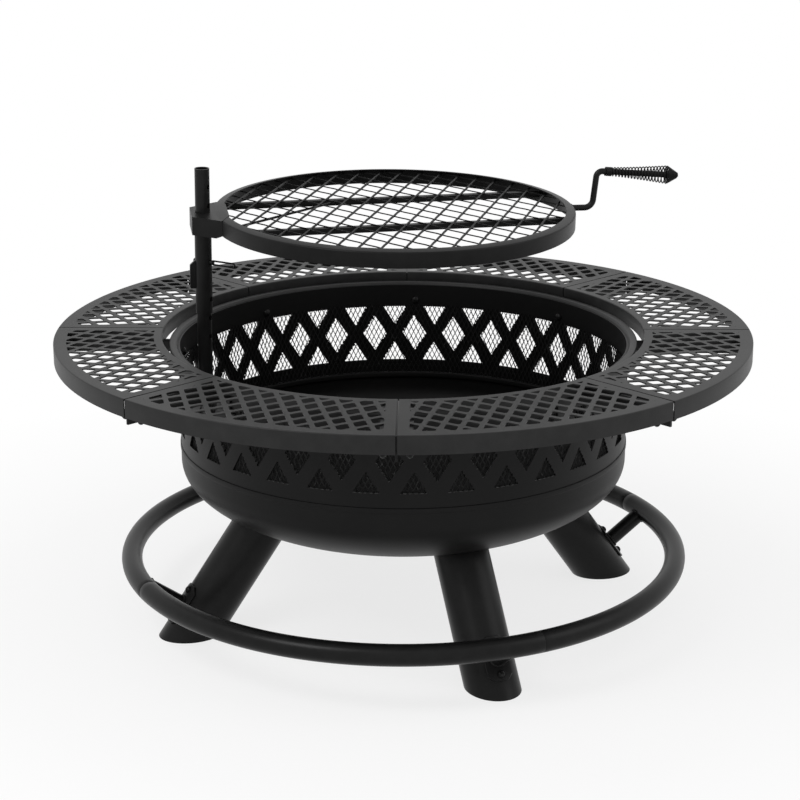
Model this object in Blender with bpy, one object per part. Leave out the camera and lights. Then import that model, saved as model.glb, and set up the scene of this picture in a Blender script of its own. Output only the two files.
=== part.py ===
"""Fire pit grill: a steel fire bowl on four splayed legs, with a perforated table and a swing grate.

Metres, +Z up. The origin is on the floor, under the centre of the table.
Eight table panels sit on radial arms around the bowl. A post stands in a socket inside the
bowl. The cooking grate hangs from a sleeve on that post, which a pin holds at one of its holes.
"""
import math

import bmesh
import bpy
from mathutils import Matrix, Quaternion, Vector

FULL_TURN = 2 * math.pi

# Fits
GAP = 0.0003

# Table of eight panels
TABLE_TOP = 0.508
TABLE_RADIUS = 0.600
TABLE_OFF_BAND = 0.027
PANEL_COUNT = 8
PANEL_SHEET = 0.002
OUTER_FLANGE_DEPTH = 0.030
INNER_FLANGE_DEPTH = 0.018
SEAM_GAP = 0.0012
FIRST_SEAM = math.radians(-90)
PANEL_STEPS = 6

# Diamond openings in the panels, long way out from the middle
PANEL_OPENING_PITCH = 0.0750
PANEL_OPENING_CROSS_PITCH = 0.0525
PANEL_STRAND = 0.0129
PANEL_PATTERN_OFF_OPENING = 0.081
PANEL_OUTER_BORDER = 0.022
PANEL_INNER_BORDER = 0.014
PANEL_SIDE_BORDER = 0.019
SLIVER_SHARE = 0.2

# Arms under the seams
ARM_WEB_THICKNESS = 0.004
ARM_WEB_DEPTH = 0.040
ARM_FLANGE_WIDTH = 0.050
ARM_FLANGE_THICKNESS = 0.0025
ARM_SHOULDER_DEPTH = 0.0205
ARM_FOOT_WIDTH = 0.060
ARM_FOOT_LENGTH = 0.024
ARM_FOOT_THICKNESS = 0.003
ARM_TAB_WIDTH = 0.034
ARM_TAB_HEIGHT = 0.050
ARM_TAB_THICKNESS = 0.003
ARM_TAB_STEPS = 2
ARM_BOLT_DROP = 0.0475
ARM_BOLT_OFFSET = 0.017
ARM_BOLT_RADIUS = 0.006
ARM_BOLT_HEIGHT = 0.004

# Bowl: cut band, screen inside it, hoop round its rim, dish below
BAND_RADIUS = 0.389
BAND_SHEET = 0.003
BAND_TOP_DROP = 0.012
BAND_BOTTOM_DROP = 0.190
BAND_CROSSINGS = 32
BAND_FIRST_CROSSING = math.radians(-86.6)
CROSSING_DROP = 0.1125
TRIANGLE_WIDTH = 0.0435
TRIANGLE_HEIGHT = 0.0350
UPPER_TRIANGLE_DROP = 0.060
LOWER_TRIANGLE_DROP = 0.166
DIAMOND_WIDTH = 0.045
DIAMOND_HEIGHT = 0.067
SCREEN_SHEET = 0.0015
SCREEN_TOP_DROP = 0.0555
HOOP_OFF_BAND = 0.0035
HOOP_WIDTH = 0.0120
HOOP_HEIGHT = 0.0090
HOOP_CHAMFER = 0.0030
DISH_PAST_BAND = 0.0015
DISH_SHEET = 0.003
DISH_WALL_DROP = 0.2188
DISH_DEPTH = 0.1348
DISH_SQUARENESS = 2.05
DISH_CURVE_POINTS = 6
DISH_LIP_WIDTH = 0.010
DISH_LIP_THICKNESS = 0.0087
BOWL_STEPS = 48

# Four splayed legs
LEG_COUNT = 4
LEG_FIRST = math.radians(-157.5)
LEG_RADIUS = 0.0459
LEG_WALL = 0.0025
LEG_TILT = math.radians(35.5)
LEG_FOOT_RADIUS = 0.397
LEG_SIDES = 20

# Ring round the legs, in four lengths of pipe, each with a stub and a saddle on one leg
STUB_UP_LEG = 0.0375
STUB_REACH = 0.1314
STUB_RADIUS = 0.0135
RING_PIPE_RADIUS = 0.018
RING_PIPE_BORE = 0.0155
RING_JOINT_PAST_LEG = math.radians(5.5)
RING_JOINT_GAP = 0.0010
RING_STEPS = 6
RING_SIDES = 10
RING_BORE_SIDES = 6
SADDLE_LENGTH = 0.075
SADDLE_WIDTH = 0.042
SADDLE_THICKNESS = 0.003
SADDLE_CORNER = 0.010
SADDLE_BOLT_SPREAD = 0.027
BOLT_HEAD_RADIUS = 0.007
BOLT_HEAD_HEIGHT = 0.005
BOLT_TOP_SHARE = 0.7
BOLT_SIDES = 8

# Post, and the axis that it leans on; distances along it are from the grate's top face
POST_INSIDE_BAND = 0.0483
POST_AZIMUTH = math.radians(-170.44)
GRATE_HEIGHT = 0.7248
LEAN_ACROSS = 0.02455
LEAN_ALONG = 0.01453
SWING_AT_REST = math.radians(9.9)
POST_RADIUS = 0.0125
POST_ABOVE_GRATE = 0.075
POST_LENGTH = 0.460
POST_SIDES = 20
POST_CHAMFER = 0.001
PIN_HOLE_SIDES = 6
PIN_HOLE_PITCH = 0.0325
PIN_HOLES_ABOVE = 4
PIN_HOLES_BELOW = 4
PIN_DROP = 0.0857
PIN_AZIMUTH = math.radians(-35)

# Socket that holds the post inside the bowl
SOCKET_RADIUS = 0.0165
SOCKET_HEIGHT = 0.078
SOCKET_FLOOR = 0.003
SOCKET_PLATE_WIDTH = 0.066
SOCKET_PLATE_THICKNESS = 0.003
SOCKET_PLATE_HEIGHT = 0.090
SOCKET_PLATE_STEPS = 4
SOCKET_WEB_THICKNESS = 0.004
SOCKET_WEB_SPREAD = 0.008

# Sleeve and bracket of the grate
SLEEVE_RADIUS = 0.0143
SLEEVE_BOTTOM_DROP = 0.175
SLEEVE_HOLES = (0, 2)
KEEPER_HEIGHT = 0.050
KEEPER_REACH = 0.009
KEEPER_THICKNESS = 0.006
KEEPER_TOP_DROP = 0.082
BRACKET_SHEET = 0.0025
BRACKET_DEPTH = 0.031
BRACKET_END_WIDTH = 0.062
BRACKET_FLARE = 0.138
BRACKET_ARC_STEPS = 6

# Round cooking grate
GRATE_RADIUS = 0.3075
POST_OFF_GRATE = 0.0200
GRATE_BAND_HEIGHT = 0.026
GRATE_FLANGE_WIDTH = 0.016
GRATE_SHEET = 0.0025
GRATE_STEPS = 48
MESH_THICKNESS = 0.002
MESH_PITCH = 0.1370
MESH_CROSS_PITCH = 0.0784
MESH_STRAND = 0.0050
BAR_TURN = math.radians(4.1)
BAR_SIDE = 0.013
BAR_SPREAD = 0.100
BRACE_RADIUS = 0.0022
BRACE_AZIMUTH = math.radians(-166.3)
BRACE_END_X = -0.083

# Bent handle rod with a coil grip
ROD_RADIUS = 0.005
ROD_DROP = 0.008
ROD_FIRST_BEND = 0.0385
ROD_RISER = 0.0475
ROD_RISE = 0.0630
ROD_GRIP_START = 0.0705
ROD_BEND_RADIUS = 0.010
BEND_STEPS = 3
ROD_IN_GRIP = 0.020
GRIP_DROOP = math.radians(4.3)
GRIP_LENGTH = 0.117
GRIP_END_RADIUS = 0.0075
GRIP_RADIUS = 0.0165
GRIP_FATTEST = 0.092
GRIP_TIP_RADIUS = 0.004
GRIP_SWELL_STEPS = 4
GRIP_SHOULDER_SHARE = 0.65
GRIP_SIDES = 16

# Lock pin with a wire loop
PIN_RADIUS = 0.004
PIN_PAST_SLEEVE = 0.004
LOOP_WIRE_RADIUS = 0.0015
LOOP_WIDTH = 0.0064
LOOP_LENGTH = 0.043

# Sizes that follow from the band: the screen inside it, the dish below, the hoop and the table round it
SCREEN_RADIUS = (BAND_RADIUS - BAND_SHEET) * math.cos(math.pi / BAND_CROSSINGS) - GAP
DISH_RADIUS = BAND_RADIUS + DISH_PAST_BAND
HOOP_INNER_RADIUS = BAND_RADIUS + HOOP_OFF_BAND
TABLE_OPENING_RADIUS = BAND_RADIUS + TABLE_OFF_BAND
POST_X = (BAND_RADIUS - POST_INSIDE_BAND) * math.cos(POST_AZIMUTH)
POST_Y = (BAND_RADIUS - POST_INSIDE_BAND) * math.sin(POST_AZIMUTH)

# From the post's axis to the middle of the grate
GRATE_REACH = GRATE_RADIUS + POST_OFF_GRATE

# Leaned frame of the post, and the frame that turns with the grate
LEAN = Matrix.Translation((POST_X, POST_Y, GRATE_HEIGHT)) @ Matrix.Rotation(
    LEAN_ALONG, 4, "Y") @ Matrix.Rotation(LEAN_ACROSS, 4, "X")


def clear_radius(radius, steps):
    """Corner radius of a faceted ring whose flats stay outside a radius."""
    return radius / math.cos(math.pi / steps)


def flat_radius(radius, steps):
    """Radius of the flats of a faceted ring with its corners on a radius."""
    return radius * math.cos(math.pi / steps)


def material(name, colour, roughness, metallic):
    """Painted or bare metal."""
    made = bpy.data.materials.new(name)
    made.use_nodes = True
    shader = made.node_tree.nodes["Principled BSDF"]
    shader.inputs["Base Color"].default_value = (*colour, 1.0)
    shader.inputs["Roughness"].default_value = roughness
    shader.inputs["Metallic"].default_value = metallic
    return made


def place(name, mesh, finish, parent=None, location=(0, 0, 0), turn=0.0):
    """One named piece, turned about Z."""
    piece = bpy.data.objects.new(name, mesh)
    if not mesh.materials:
        mesh.materials.append(finish)
    piece.location = location
    piece.rotation_euler = (0, 0, turn)
    piece.parent = parent
    bpy.context.collection.objects.link(piece)
    return piece


def finish_mesh(bm, name):
    """Clean mesh from a bmesh, smooth where it is round."""
    bmesh.ops.remove_doubles(bm, verts=bm.verts, dist=1e-6)
    bmesh.ops.dissolve_degenerate(bm, edges=bm.edges, dist=1e-6)
    bmesh.ops.recalc_face_normals(bm, faces=bm.faces)
    mesh = bpy.data.meshes.new(name)
    bm.to_mesh(mesh)
    bm.free()
    mesh.shade_smooth()
    mesh.set_sharp_from_angle(angle=math.radians(32))
    return mesh


def turned(name, profile, steps, start=0.0, sweep=FULL_TURN):
    """Closed outline of (radius, height) points spun about Z; a part turn has flat ends."""
    bm = bmesh.new()
    turn = Matrix.Rotation(start, 3, "Z")
    corners = [bm.verts.new(turn @ Vector((radius, 0, height))) for radius, height in profile]
    face = bm.faces.new(corners)
    whole = sweep >= FULL_TURN
    if whole:
        edges = list(face.edges)
        bmesh.ops.delete(bm, geom=[face], context="FACES_ONLY")
        start_geometry = corners + edges
    else:
        start_geometry = [face]
    bmesh.ops.spin(bm, geom=start_geometry, cent=(0, 0, 0), axis=(0, 0, 1), angle=sweep,
                   steps=steps, use_merge=whole)
    return finish_mesh(bm, name)


def lathed(name, profile, steps):
    """Open outline of (radius, height) points from axis to axis, spun about Z into a closed body."""
    bm = bmesh.new()
    corners = [bm.verts.new((radius, 0, height)) for radius, height in profile]
    edges = [bm.edges.new(pair) for pair in zip(corners, corners[1:])]
    bmesh.ops.spin(bm, geom=corners + edges, cent=(0, 0, 0), axis=(0, 0, 1), angle=FULL_TURN,
                   steps=steps, use_merge=True)
    return finish_mesh(bm, name)


def plate(name, outline, low, high):
    """Flat outline of (x, y) points, extruded from one height to another."""
    bm = bmesh.new()
    face = bm.faces.new([bm.verts.new((x, y, low)) for x, y in outline])
    raised = bmesh.ops.extrude_face_region(bm, geom=[face], use_keep_orig=True)
    top = [item for item in raised["geom"] if isinstance(item, bmesh.types.BMVert)]
    bmesh.ops.translate(bm, verts=top, vec=(0, 0, high - low))
    return finish_mesh(bm, name)


def box(name, low, high):
    """Block between two corners."""
    outline = [(low[0], low[1]), (high[0], low[1]), (high[0], high[1]), (low[0], high[1])]
    return plate(name, outline, low[2], high[2])


def rolled(name, loops, inner_radius, thickness, closed):
    """Flat sheet with cut-outs, given as loops of (azimuth, height), rolled about Z."""
    bm = bmesh.new()
    for loop in loops:
        corners = [bm.verts.new((azimuth, height, 0)) for azimuth, height in loop]
        for here, there in zip(corners, corners[1:] + corners[:1]):
            bm.edges.new((here, there))
    bmesh.ops.triangle_fill(bm, use_beauty=True, edges=bm.edges[:], normal=(0, 0, 1))
    if closed:
        ends = min(v.co.x for v in bm.verts), max(v.co.x for v in bm.verts)
    raised = bmesh.ops.extrude_face_region(bm, geom=bm.faces[:], use_keep_orig=True)
    outer = {item for item in raised["geom"] if isinstance(item, bmesh.types.BMVert)}
    if closed:
        joints = [face for face in bm.faces
                  if all(abs(v.co.x - ends[0]) < 1e-7 for v in face.verts)
                  or all(abs(v.co.x - ends[1]) < 1e-7 for v in face.verts)]
        bmesh.ops.delete(bm, geom=joints, context="FACES_ONLY")
    for corner in bm.verts:
        radius = inner_radius + (thickness if corner in outer else 0)
        azimuth, height = corner.co.x, corner.co.y
        corner.co = (radius * math.cos(azimuth), radius * math.sin(azimuth), height)
    return finish_mesh(bm, name)


def combined(base, others, operation):
    """Exact Boolean of one mesh with several others."""
    holder = bpy.data.objects.new("holder", base)
    bpy.context.collection.objects.link(holder)
    tools = []
    for other in others:
        tool = bpy.data.objects.new("tool", other)
        bpy.context.collection.objects.link(tool)
        tool.hide_render = True
        tool.display_type = "WIRE"
        cut = holder.modifiers.new("cut", "BOOLEAN")
        cut.operation = operation
        cut.solver = "EXACT"
        cut.object = tool
        tools.append(tool)
    graph = bpy.context.evaluated_depsgraph_get()
    result = bpy.data.meshes.new_from_object(holder.evaluated_get(graph), depsgraph=graph)
    for piece in [holder, *tools]:
        bpy.data.objects.remove(piece)
    bm = bmesh.new()
    bm.from_mesh(result)
    bmesh.ops.dissolve_limit(bm, angle_limit=math.radians(0.2), verts=bm.verts, edges=bm.edges)
    return finish_mesh(bm, base.name)


def pipe(name, points, radius, sides, bend=0.0):
    """Round rod along a path, its corners rounded to a bend radius."""
    route = []
    points = [Vector(point) for point in points]
    for index, point in enumerate(points):
        if bend == 0.0 or index in (0, len(points) - 1):
            route.append(point)
            continue
        before = (points[index - 1] - point).normalized()
        after = (points[index + 1] - point).normalized()
        half = before.angle(after) / 2
        centre = point + (before + after).normalized() * bend / math.sin(half)
        first = point + before * bend / math.tan(half) - centre
        last = point + after * bend / math.tan(half) - centre
        sweep = first.rotation_difference(last)
        for step in range(BEND_STEPS + 1):
            route.append(centre + Quaternion().slerp(sweep, step / BEND_STEPS) @ first)
    curve = bpy.data.curves.new(name, "CURVE")
    curve.dimensions = "3D"
    curve.bevel_depth = radius
    curve.bevel_resolution = sides // 2 - 2
    curve.use_fill_caps = True
    spline = curve.splines.new("POLY")
    spline.points.add(len(route) - 1)
    for spot, point in zip(spline.points, route):
        spot.co = (*point, 1)
    holder = bpy.data.objects.new(name, curve)
    mesh = bpy.data.meshes.new_from_object(holder)
    bpy.data.objects.remove(holder)
    bm = bmesh.new()
    bm.from_mesh(mesh)
    return finish_mesh(bm, name)


def moved(mesh, matrix):
    """The same mesh, moved."""
    mesh.transform(matrix)
    return mesh


def clip(outline, normal, limit):
    """Part of a convex outline where normal . point is under a limit."""
    kept = []
    for here, there in zip(outline, outline[1:] + outline[:1]):
        room = limit - normal.dot(here)
        room_there = limit - normal.dot(there)
        if room >= 0:
            kept.append(here)
        if room * room_there < 0:
            kept.append(here.lerp(there, room / (room - room_there)))
    return kept


def area(outline):
    """Area inside an outline."""
    pairs = zip(outline, outline[1:] + outline[:1])
    return abs(sum(here.x * there.y - there.x * here.y for here, there in pairs)) / 2


def diamonds(centre, pitch, cross_pitch, strand, reach, borders):
    """Outlines of a diamond lattice, long way along X, clipped to borders round each opening.

    borders(point) gives (normal, limit) pairs. Slivers under a share of an opening are left out.
    """
    side = math.hypot(pitch, cross_pitch) / 2
    share = 1 - strand * side / (pitch * cross_pitch / 2)
    half_long = share * pitch / 2
    half_wide = share * cross_pitch / 2
    rows = math.ceil(reach / cross_pitch)
    columns = math.ceil(2 * reach / pitch)
    outlines = []
    for column in range(-columns, columns + 1):
        for row in range(-rows, rows + 1):
            middle = Vector((centre + column * pitch / 2, (row + (column % 2) / 2) * cross_pitch))
            outline = [middle + Vector(corner) for corner in
                       ((half_long, 0), (0, half_wide), (-half_long, 0), (0, -half_wide))]
            for normal, limit in borders(middle):
                outline = clip(outline, normal, limit)
            if len(outline) > 2 and area(outline) > 2 * half_long * half_wide * SLIVER_SHARE:
                outlines.append(outline)
    return outlines


def punched(base, outlines, low, high):
    """Sheet with outlines cut through it between two heights."""
    bm = bmesh.new()
    for outline in outlines:
        face = bm.faces.new([bm.verts.new((point.x, point.y, low)) for point in outline])
        raised = bmesh.ops.extrude_face_region(bm, geom=[face], use_keep_orig=True)
        top = [item for item in raised["geom"] if isinstance(item, bmesh.types.BMVert)]
        bmesh.ops.translate(bm, verts=top, vec=(0, 0, high - low))
    return combined(base, [finish_mesh(bm, "punch")], "DIFFERENCE")


def panel_mesh():
    """One eighth of the table: a sheet with diamond openings and a flange along each arc."""
    half = math.pi / PANEL_COUNT
    seam = SEAM_GAP / (TABLE_RADIUS + TABLE_OPENING_RADIUS)
    outer = TABLE_RADIUS
    inner = TABLE_OPENING_RADIUS
    profile = [(inner, 0), (inner, -INNER_FLANGE_DEPTH),
               (inner + PANEL_SHEET, -INNER_FLANGE_DEPTH), (inner + PANEL_SHEET, -PANEL_SHEET),
               (outer - PANEL_SHEET, -PANEL_SHEET), (outer - PANEL_SHEET, -OUTER_FLANGE_DEPTH),
               (outer, -OUTER_FLANGE_DEPTH), (outer, 0)]
    sheet = turned("table_panel", profile, PANEL_STEPS, seam - half, 2 * (half - seam))

    def borders(point):
        out = point.normalized()
        edges = [(out, outer - PANEL_OUTER_BORDER), (-out, -inner - PANEL_INNER_BORDER)]
        for way in (-1, 1):
            edges.append((Vector((-math.sin(half), way * math.cos(half))), -PANEL_SIDE_BORDER))
        return edges

    outlines = diamonds(inner + PANEL_PATTERN_OFF_OPENING, PANEL_OPENING_PITCH,
                        PANEL_OPENING_CROSS_PITCH, PANEL_STRAND, outer / 2, borders)
    return punched(sheet, outlines, -2 * PANEL_SHEET, PANEL_SHEET)


def arm_mesh():
    """Radial arm: web, top flange under the seam, foot under the rim and a tab on the bowl."""
    steps = PANEL_COUNT * PANEL_STEPS
    top = -PANEL_SHEET - GAP
    start = TABLE_OPENING_RADIUS + PANEL_SHEET + GAP
    rim = flat_radius(TABLE_RADIUS - PANEL_SHEET, steps) - GAP
    end = math.sqrt(rim ** 2 - (ARM_FOOT_WIDTH / 2) ** 2) - GAP
    sweep = ARM_TAB_WIDTH / BAND_RADIUS
    tab_inner = (BAND_RADIUS + GAP) / math.cos(sweep / ARM_TAB_STEPS / 2)
    tab_outer = tab_inner + ARM_TAB_THICKNESS
    low = top - ARM_WEB_DEPTH
    root = tab_inner + GAP
    outline = [(root, -ARM_SHOULDER_DEPTH), (start, -ARM_SHOULDER_DEPTH), (start, top), (end, top),
               (end, low), (root, low)]
    stand = Matrix.Rotation(math.pi / 2, 4, "X")
    half_web = ARM_WEB_THICKNESS / 2
    web = moved(plate("table_arm", outline, -half_web, half_web), stand)
    half_flange = ARM_FLANGE_WIDTH / 2
    flange = box("flange", (start, -half_flange, top - ARM_FLANGE_THICKNESS), (end, half_flange, top))
    half_foot = ARM_FOOT_WIDTH / 2
    foot = box("foot", (end - ARM_FOOT_LENGTH, -half_foot, -OUTER_FLANGE_DEPTH),
               (end, half_foot, ARM_FOOT_THICKNESS - OUTER_FLANGE_DEPTH))
    tab_low = -ARM_SHOULDER_DEPTH - ARM_TAB_HEIGHT
    tab_profile = [(tab_inner, tab_low), (tab_outer, tab_low), (tab_outer, -ARM_SHOULDER_DEPTH),
                   (tab_inner, -ARM_SHOULDER_DEPTH)]
    tab = turned("tab", tab_profile, ARM_TAB_STEPS, half_web / tab_inner - sweep, sweep)
    return combined(web, [flange, foot, tab], "UNION")


def band_mesh():
    """Upper bowl: a rolled sheet with a row of diamonds and two rows of triangles."""
    repeat = FULL_TURN / BAND_CROSSINGS
    reach = BAND_RADIUS
    half_triangle = TRIANGLE_WIDTH / 2 / reach
    half_diamond = DIAMOND_WIDTH / 2 / reach
    diamond_low = -CROSSING_DROP - DIAMOND_HEIGHT / 2
    diamond_high = -CROSSING_DROP + DIAMOND_HEIGHT / 2
    bars = BAND_CROSSINGS * 2
    left = BAND_FIRST_CROSSING - repeat / 2
    spots = [left + index * repeat / 2 for index in range(bars + 1)]
    # the rolled sheet's two ends meet in the middle of a diamond, so each end has half of it as a notch
    loops = [[(spot, -BAND_BOTTOM_DROP) for spot in spots]
             + [(spot, -BAND_TOP_DROP) for spot in reversed(spots)]]
    for index in range(BAND_CROSSINGS):
        middle = BAND_FIRST_CROSSING + index * repeat
        upper = -UPPER_TRIANGLE_DROP
        lower = -LOWER_TRIANGLE_DROP
        loops.append([(middle - half_triangle, upper), (middle, upper - TRIANGLE_HEIGHT),
                      (middle + half_triangle, upper)])
        loops.append([(middle - half_triangle, lower), (middle + half_triangle, lower),
                      (middle, lower + TRIANGLE_HEIGHT)])
        if index:
            edge = middle - repeat / 2
            loops.append([(edge - half_diamond, -CROSSING_DROP), (edge, diamond_low),
                          (edge + half_diamond, -CROSSING_DROP), (edge, diamond_high)])
    right = left + FULL_TURN
    notch = [(diamond_low, 0), (-CROSSING_DROP, half_diamond), (diamond_high, 0)]
    outline = loops[0]
    count = len(spots)
    loops[0] = (outline[:count] + [(right - inset, height) for height, inset in notch]
                + outline[count:] + [(left + inset, height) for height, inset in reversed(notch)])
    inner = BAND_RADIUS - BAND_SHEET
    return rolled("bowl_band", loops, inner, BAND_SHEET, True)


def dish_profile(offset):
    """Outer curve of the dish from its wall to its lowest point, moved inwards by an offset."""
    count = DISH_CURVE_POINTS
    curve = []
    for index in range(count):
        angle = math.pi / 2 * index / (count - 1)
        reach = max(math.cos(angle), 0.0) ** (2 / DISH_SQUARENESS)
        depth = math.sin(angle) ** (2 / DISH_SQUARENESS)
        if index == count - 1:
            reach = 0.0
        curve.append(((DISH_RADIUS - offset) * reach, -DISH_WALL_DROP - (DISH_DEPTH - offset) * depth))
    return curve


def dish_mesh():
    """Pressed dish with a thick lip that the band stands on."""
    top = -BAND_BOTTOM_DROP - GAP
    under_lip = top - DISH_LIP_THICKNESS
    outer = dish_profile(0)
    inner = dish_profile(DISH_SHEET)
    lip_inner = DISH_RADIUS - DISH_LIP_WIDTH
    profile = [outer[-1], *reversed(outer[:-1]), (DISH_RADIUS, top), (lip_inner, top),
               (lip_inner, under_lip), (DISH_RADIUS - DISH_SHEET, under_lip - DISH_LIP_WIDTH / 2), *inner]
    return lathed("bowl_dish", profile, BOWL_STEPS)


def dish_room_mesh():
    """Closed body a hair larger than the dish, to cut what meets its underside."""
    outer = [(reach + (GAP if reach else 0), height - GAP) for reach, height in dish_profile(0)]
    profile = [outer[-1], *reversed(outer[:-1]), (DISH_RADIUS + GAP, 0), (0, 0)]
    return moved(lathed("dish_room", profile, BOWL_STEPS), Matrix.Translation((0, 0, TABLE_TOP)))


def screen_mesh():
    """Spark screen: a thin ring that stands on the dish's lip inside the band."""
    outer = SCREEN_RADIUS
    inner = outer - SCREEN_SHEET
    profile = [(inner, -BAND_BOTTOM_DROP), (outer, -BAND_BOTTOM_DROP), (outer, -SCREEN_TOP_DROP),
               (inner, -SCREEN_TOP_DROP)]
    return turned("spark_screen", profile, BOWL_STEPS)


def hoop_mesh():
    """Rim hoop that lies on the arms' shoulders, just outside the band."""
    low = GAP - ARM_SHOULDER_DEPTH
    high = low + HOOP_HEIGHT
    inner = HOOP_INNER_RADIUS
    outer = inner + HOOP_WIDTH
    profile = [(inner, low), (outer, low), (outer, high - HOOP_CHAMFER), (outer - HOOP_CHAMFER, high),
               (inner + HOOP_CHAMFER, high), (inner, high - HOOP_CHAMFER)]
    return turned("rim_hoop", profile, BOWL_STEPS)


# Frame of a leg: Z runs up along it from the floor, X faces out
LEG = Matrix.Translation((LEG_FOOT_RADIUS, 0, 0)) @ Matrix.Rotation(-LEG_TILT, 4, "Y")
STUB_START = LEG @ Vector((0, 0, STUB_UP_LEG))
STUB_WAY = LEG.to_3x3() @ Vector((1, 0, 0))
RING_CENTRE = STUB_START + STUB_WAY * STUB_REACH


def leg_mesh():
    """Tube cut flat at the floor and coped to the underside of the dish."""
    inner = LEG_RADIUS - LEG_WALL
    reach = TABLE_TOP / math.cos(LEG_TILT)
    profile = [(inner, -reach / 2), (LEG_RADIUS, -reach / 2), (LEG_RADIUS, reach), (inner, reach)]
    tube = moved(turned("leg", profile, LEG_SIDES), LEG)
    below = box("below", (-1, -1, -1), (1, 1, 0))
    above = box("above", (-1, -1, TABLE_TOP - DISH_WALL_DROP), (1, 1, 1))
    return combined(tube, [below, above, dish_room_mesh()], "DIFFERENCE")


def saddle_mesh():
    """Plate with cut corners, rolled round the outside of the leg."""
    half_width = SADDLE_WIDTH / 2 / LEG_RADIUS
    corner = SADDLE_CORNER / LEG_RADIUS
    low = STUB_UP_LEG - SADDLE_LENGTH / 2
    high = STUB_UP_LEG + SADDLE_LENGTH / 2
    half_inner = half_width - corner
    loop = [(-half_inner, low), (0, low), (half_inner, low), (half_width, low + SADDLE_CORNER),
            (half_width, high - SADDLE_CORNER), (half_inner, high), (0, high), (-half_inner, high),
            (-half_width, high - SADDLE_CORNER), (-half_width, low + SADDLE_CORNER)]
    radius = (LEG_RADIUS + GAP) / math.cos(half_inner / 2)
    return moved(rolled("saddle", [loop], radius, SADDLE_THICKNESS, False), LEG)


def ring_mesh():
    """A quarter of the pipe ring, with the stub and saddle that hold it to its leg."""
    quarter = FULL_TURN / LEG_COUNT
    joint = RING_JOINT_GAP / RING_CENTRE.x
    start = RING_JOINT_PAST_LEG - quarter + joint / 2

    def section(radius, sides):
        turns = [FULL_TURN * (index + 0.5) / sides for index in range(sides)]
        return [(RING_CENTRE.x + radius * math.cos(turn), RING_CENTRE.z + radius * math.sin(turn))
                for turn in turns]

    sweep = quarter - joint
    step = sweep / RING_STEPS
    outside = turned("ring_segment", section(RING_PIPE_RADIUS, RING_SIDES), RING_STEPS, start, sweep)
    bore = turned("bore", section(RING_PIPE_BORE, RING_BORE_SIDES), RING_STEPS + 2, start - step,
                  sweep + 2 * step)
    hollow = combined(outside, [bore], "DIFFERENCE")
    saddle_face = STUB_START + STUB_WAY * (LEG_RADIUS + SADDLE_THICKNESS / 2)
    ring_face = RING_CENTRE - STUB_WAY * math.sqrt(RING_PIPE_RADIUS ** 2 - STUB_RADIUS ** 2)
    stub = pipe("stub", [saddle_face, ring_face], STUB_RADIUS, RING_SIDES)
    return combined(hollow, [stub, saddle_mesh()], "UNION")


def bolt_mesh(name, radius, height):
    """Domed bolt head standing on Z = 0."""
    profile = [(0, 0), (radius, 0), (radius * BOLT_TOP_SHARE, height), (0, height)]
    return lathed(name, profile, BOLT_SIDES)


def cross_hole(drop, reach):
    """Cutter along the pin's way, through the post's axis."""
    way = Matrix.Rotation(PIN_AZIMUTH, 4, "Z") @ Matrix.Rotation(math.pi / 2, 4, "Y")
    radius = clear_radius(PIN_RADIUS + GAP, PIN_HOLE_SIDES)
    profile = [(0, -reach), (radius, -reach), (radius, reach), (0, reach)]
    return moved(lathed("hole", profile, PIN_HOLE_SIDES), Matrix.Translation((0, 0, -drop)) @ way)


def post_mesh():
    """Round post with a row of holes for the pin."""
    bottom = POST_ABOVE_GRATE - POST_LENGTH
    rim = POST_RADIUS - POST_CHAMFER
    profile = [(0, bottom), (POST_RADIUS, bottom), (POST_RADIUS, POST_ABOVE_GRATE - POST_CHAMFER),
               (rim, POST_ABOVE_GRATE), (0, POST_ABOVE_GRATE)]
    rod = lathed("post", profile, POST_SIDES)
    holes = [cross_hole(PIN_DROP + step * PIN_HOLE_PITCH, 2 * POST_RADIUS)
             for step in range(-PIN_HOLES_ABOVE, PIN_HOLES_BELOW + 1)]
    return combined(rod, holes, "DIFFERENCE")


def socket_mesh():
    """Cup for the post's foot, on two webs and a plate rolled to the inside of the bowl."""
    bore = clear_radius(POST_RADIUS + GAP, POST_SIDES)
    floor = POST_ABOVE_GRATE - POST_LENGTH - GAP
    bottom = floor - SOCKET_FLOOR
    top = bottom + SOCKET_HEIGHT
    profile = [(0, bottom), (SOCKET_RADIUS, bottom), (SOCKET_RADIUS, top), (bore, top),
               (bore, floor), (0, floor)]
    cup = moved(lathed("post_socket", profile, POST_SIDES), LEAN)
    middle = LEAN @ Vector((0, 0, (top + bottom) / 2))
    azimuth = math.atan2(middle.y, middle.x)
    reach = math.hypot(middle.x, middle.y)
    plate_outer = flat_radius(SCREEN_RADIUS - SCREEN_SHEET, BOWL_STEPS) - GAP
    plate_inner = plate_outer - SOCKET_PLATE_THICKNESS
    low = middle.z - SOCKET_PLATE_HEIGHT / 2
    high = middle.z + SOCKET_PLATE_HEIGHT / 2
    sweep = SOCKET_PLATE_WIDTH / plate_outer
    plate_profile = [(plate_inner, low), (plate_outer, low), (plate_outer, high), (plate_inner, high)]
    back = turned("back", plate_profile, SOCKET_PLATE_STEPS, azimuth - sweep / 2, sweep)
    face = Matrix.Rotation(azimuth, 4, "Z")
    half = SOCKET_WEB_THICKNESS / 2
    level = SOCKET_HEIGHT / 2 - SOCKET_FLOOR
    webs = []
    for side in (-SOCKET_WEB_SPREAD, SOCKET_WEB_SPREAD):
        start = reach + math.sqrt(bore ** 2 - (abs(side) - half) ** 2) + GAP
        end = plate_inner + SOCKET_PLATE_THICKNESS / 2
        web = box("web", (start, side - half, middle.z - level), (end, side + half, middle.z + level))
        webs.append(moved(web, face))
    return combined(cup, [back, *webs], "UNION")


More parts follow.
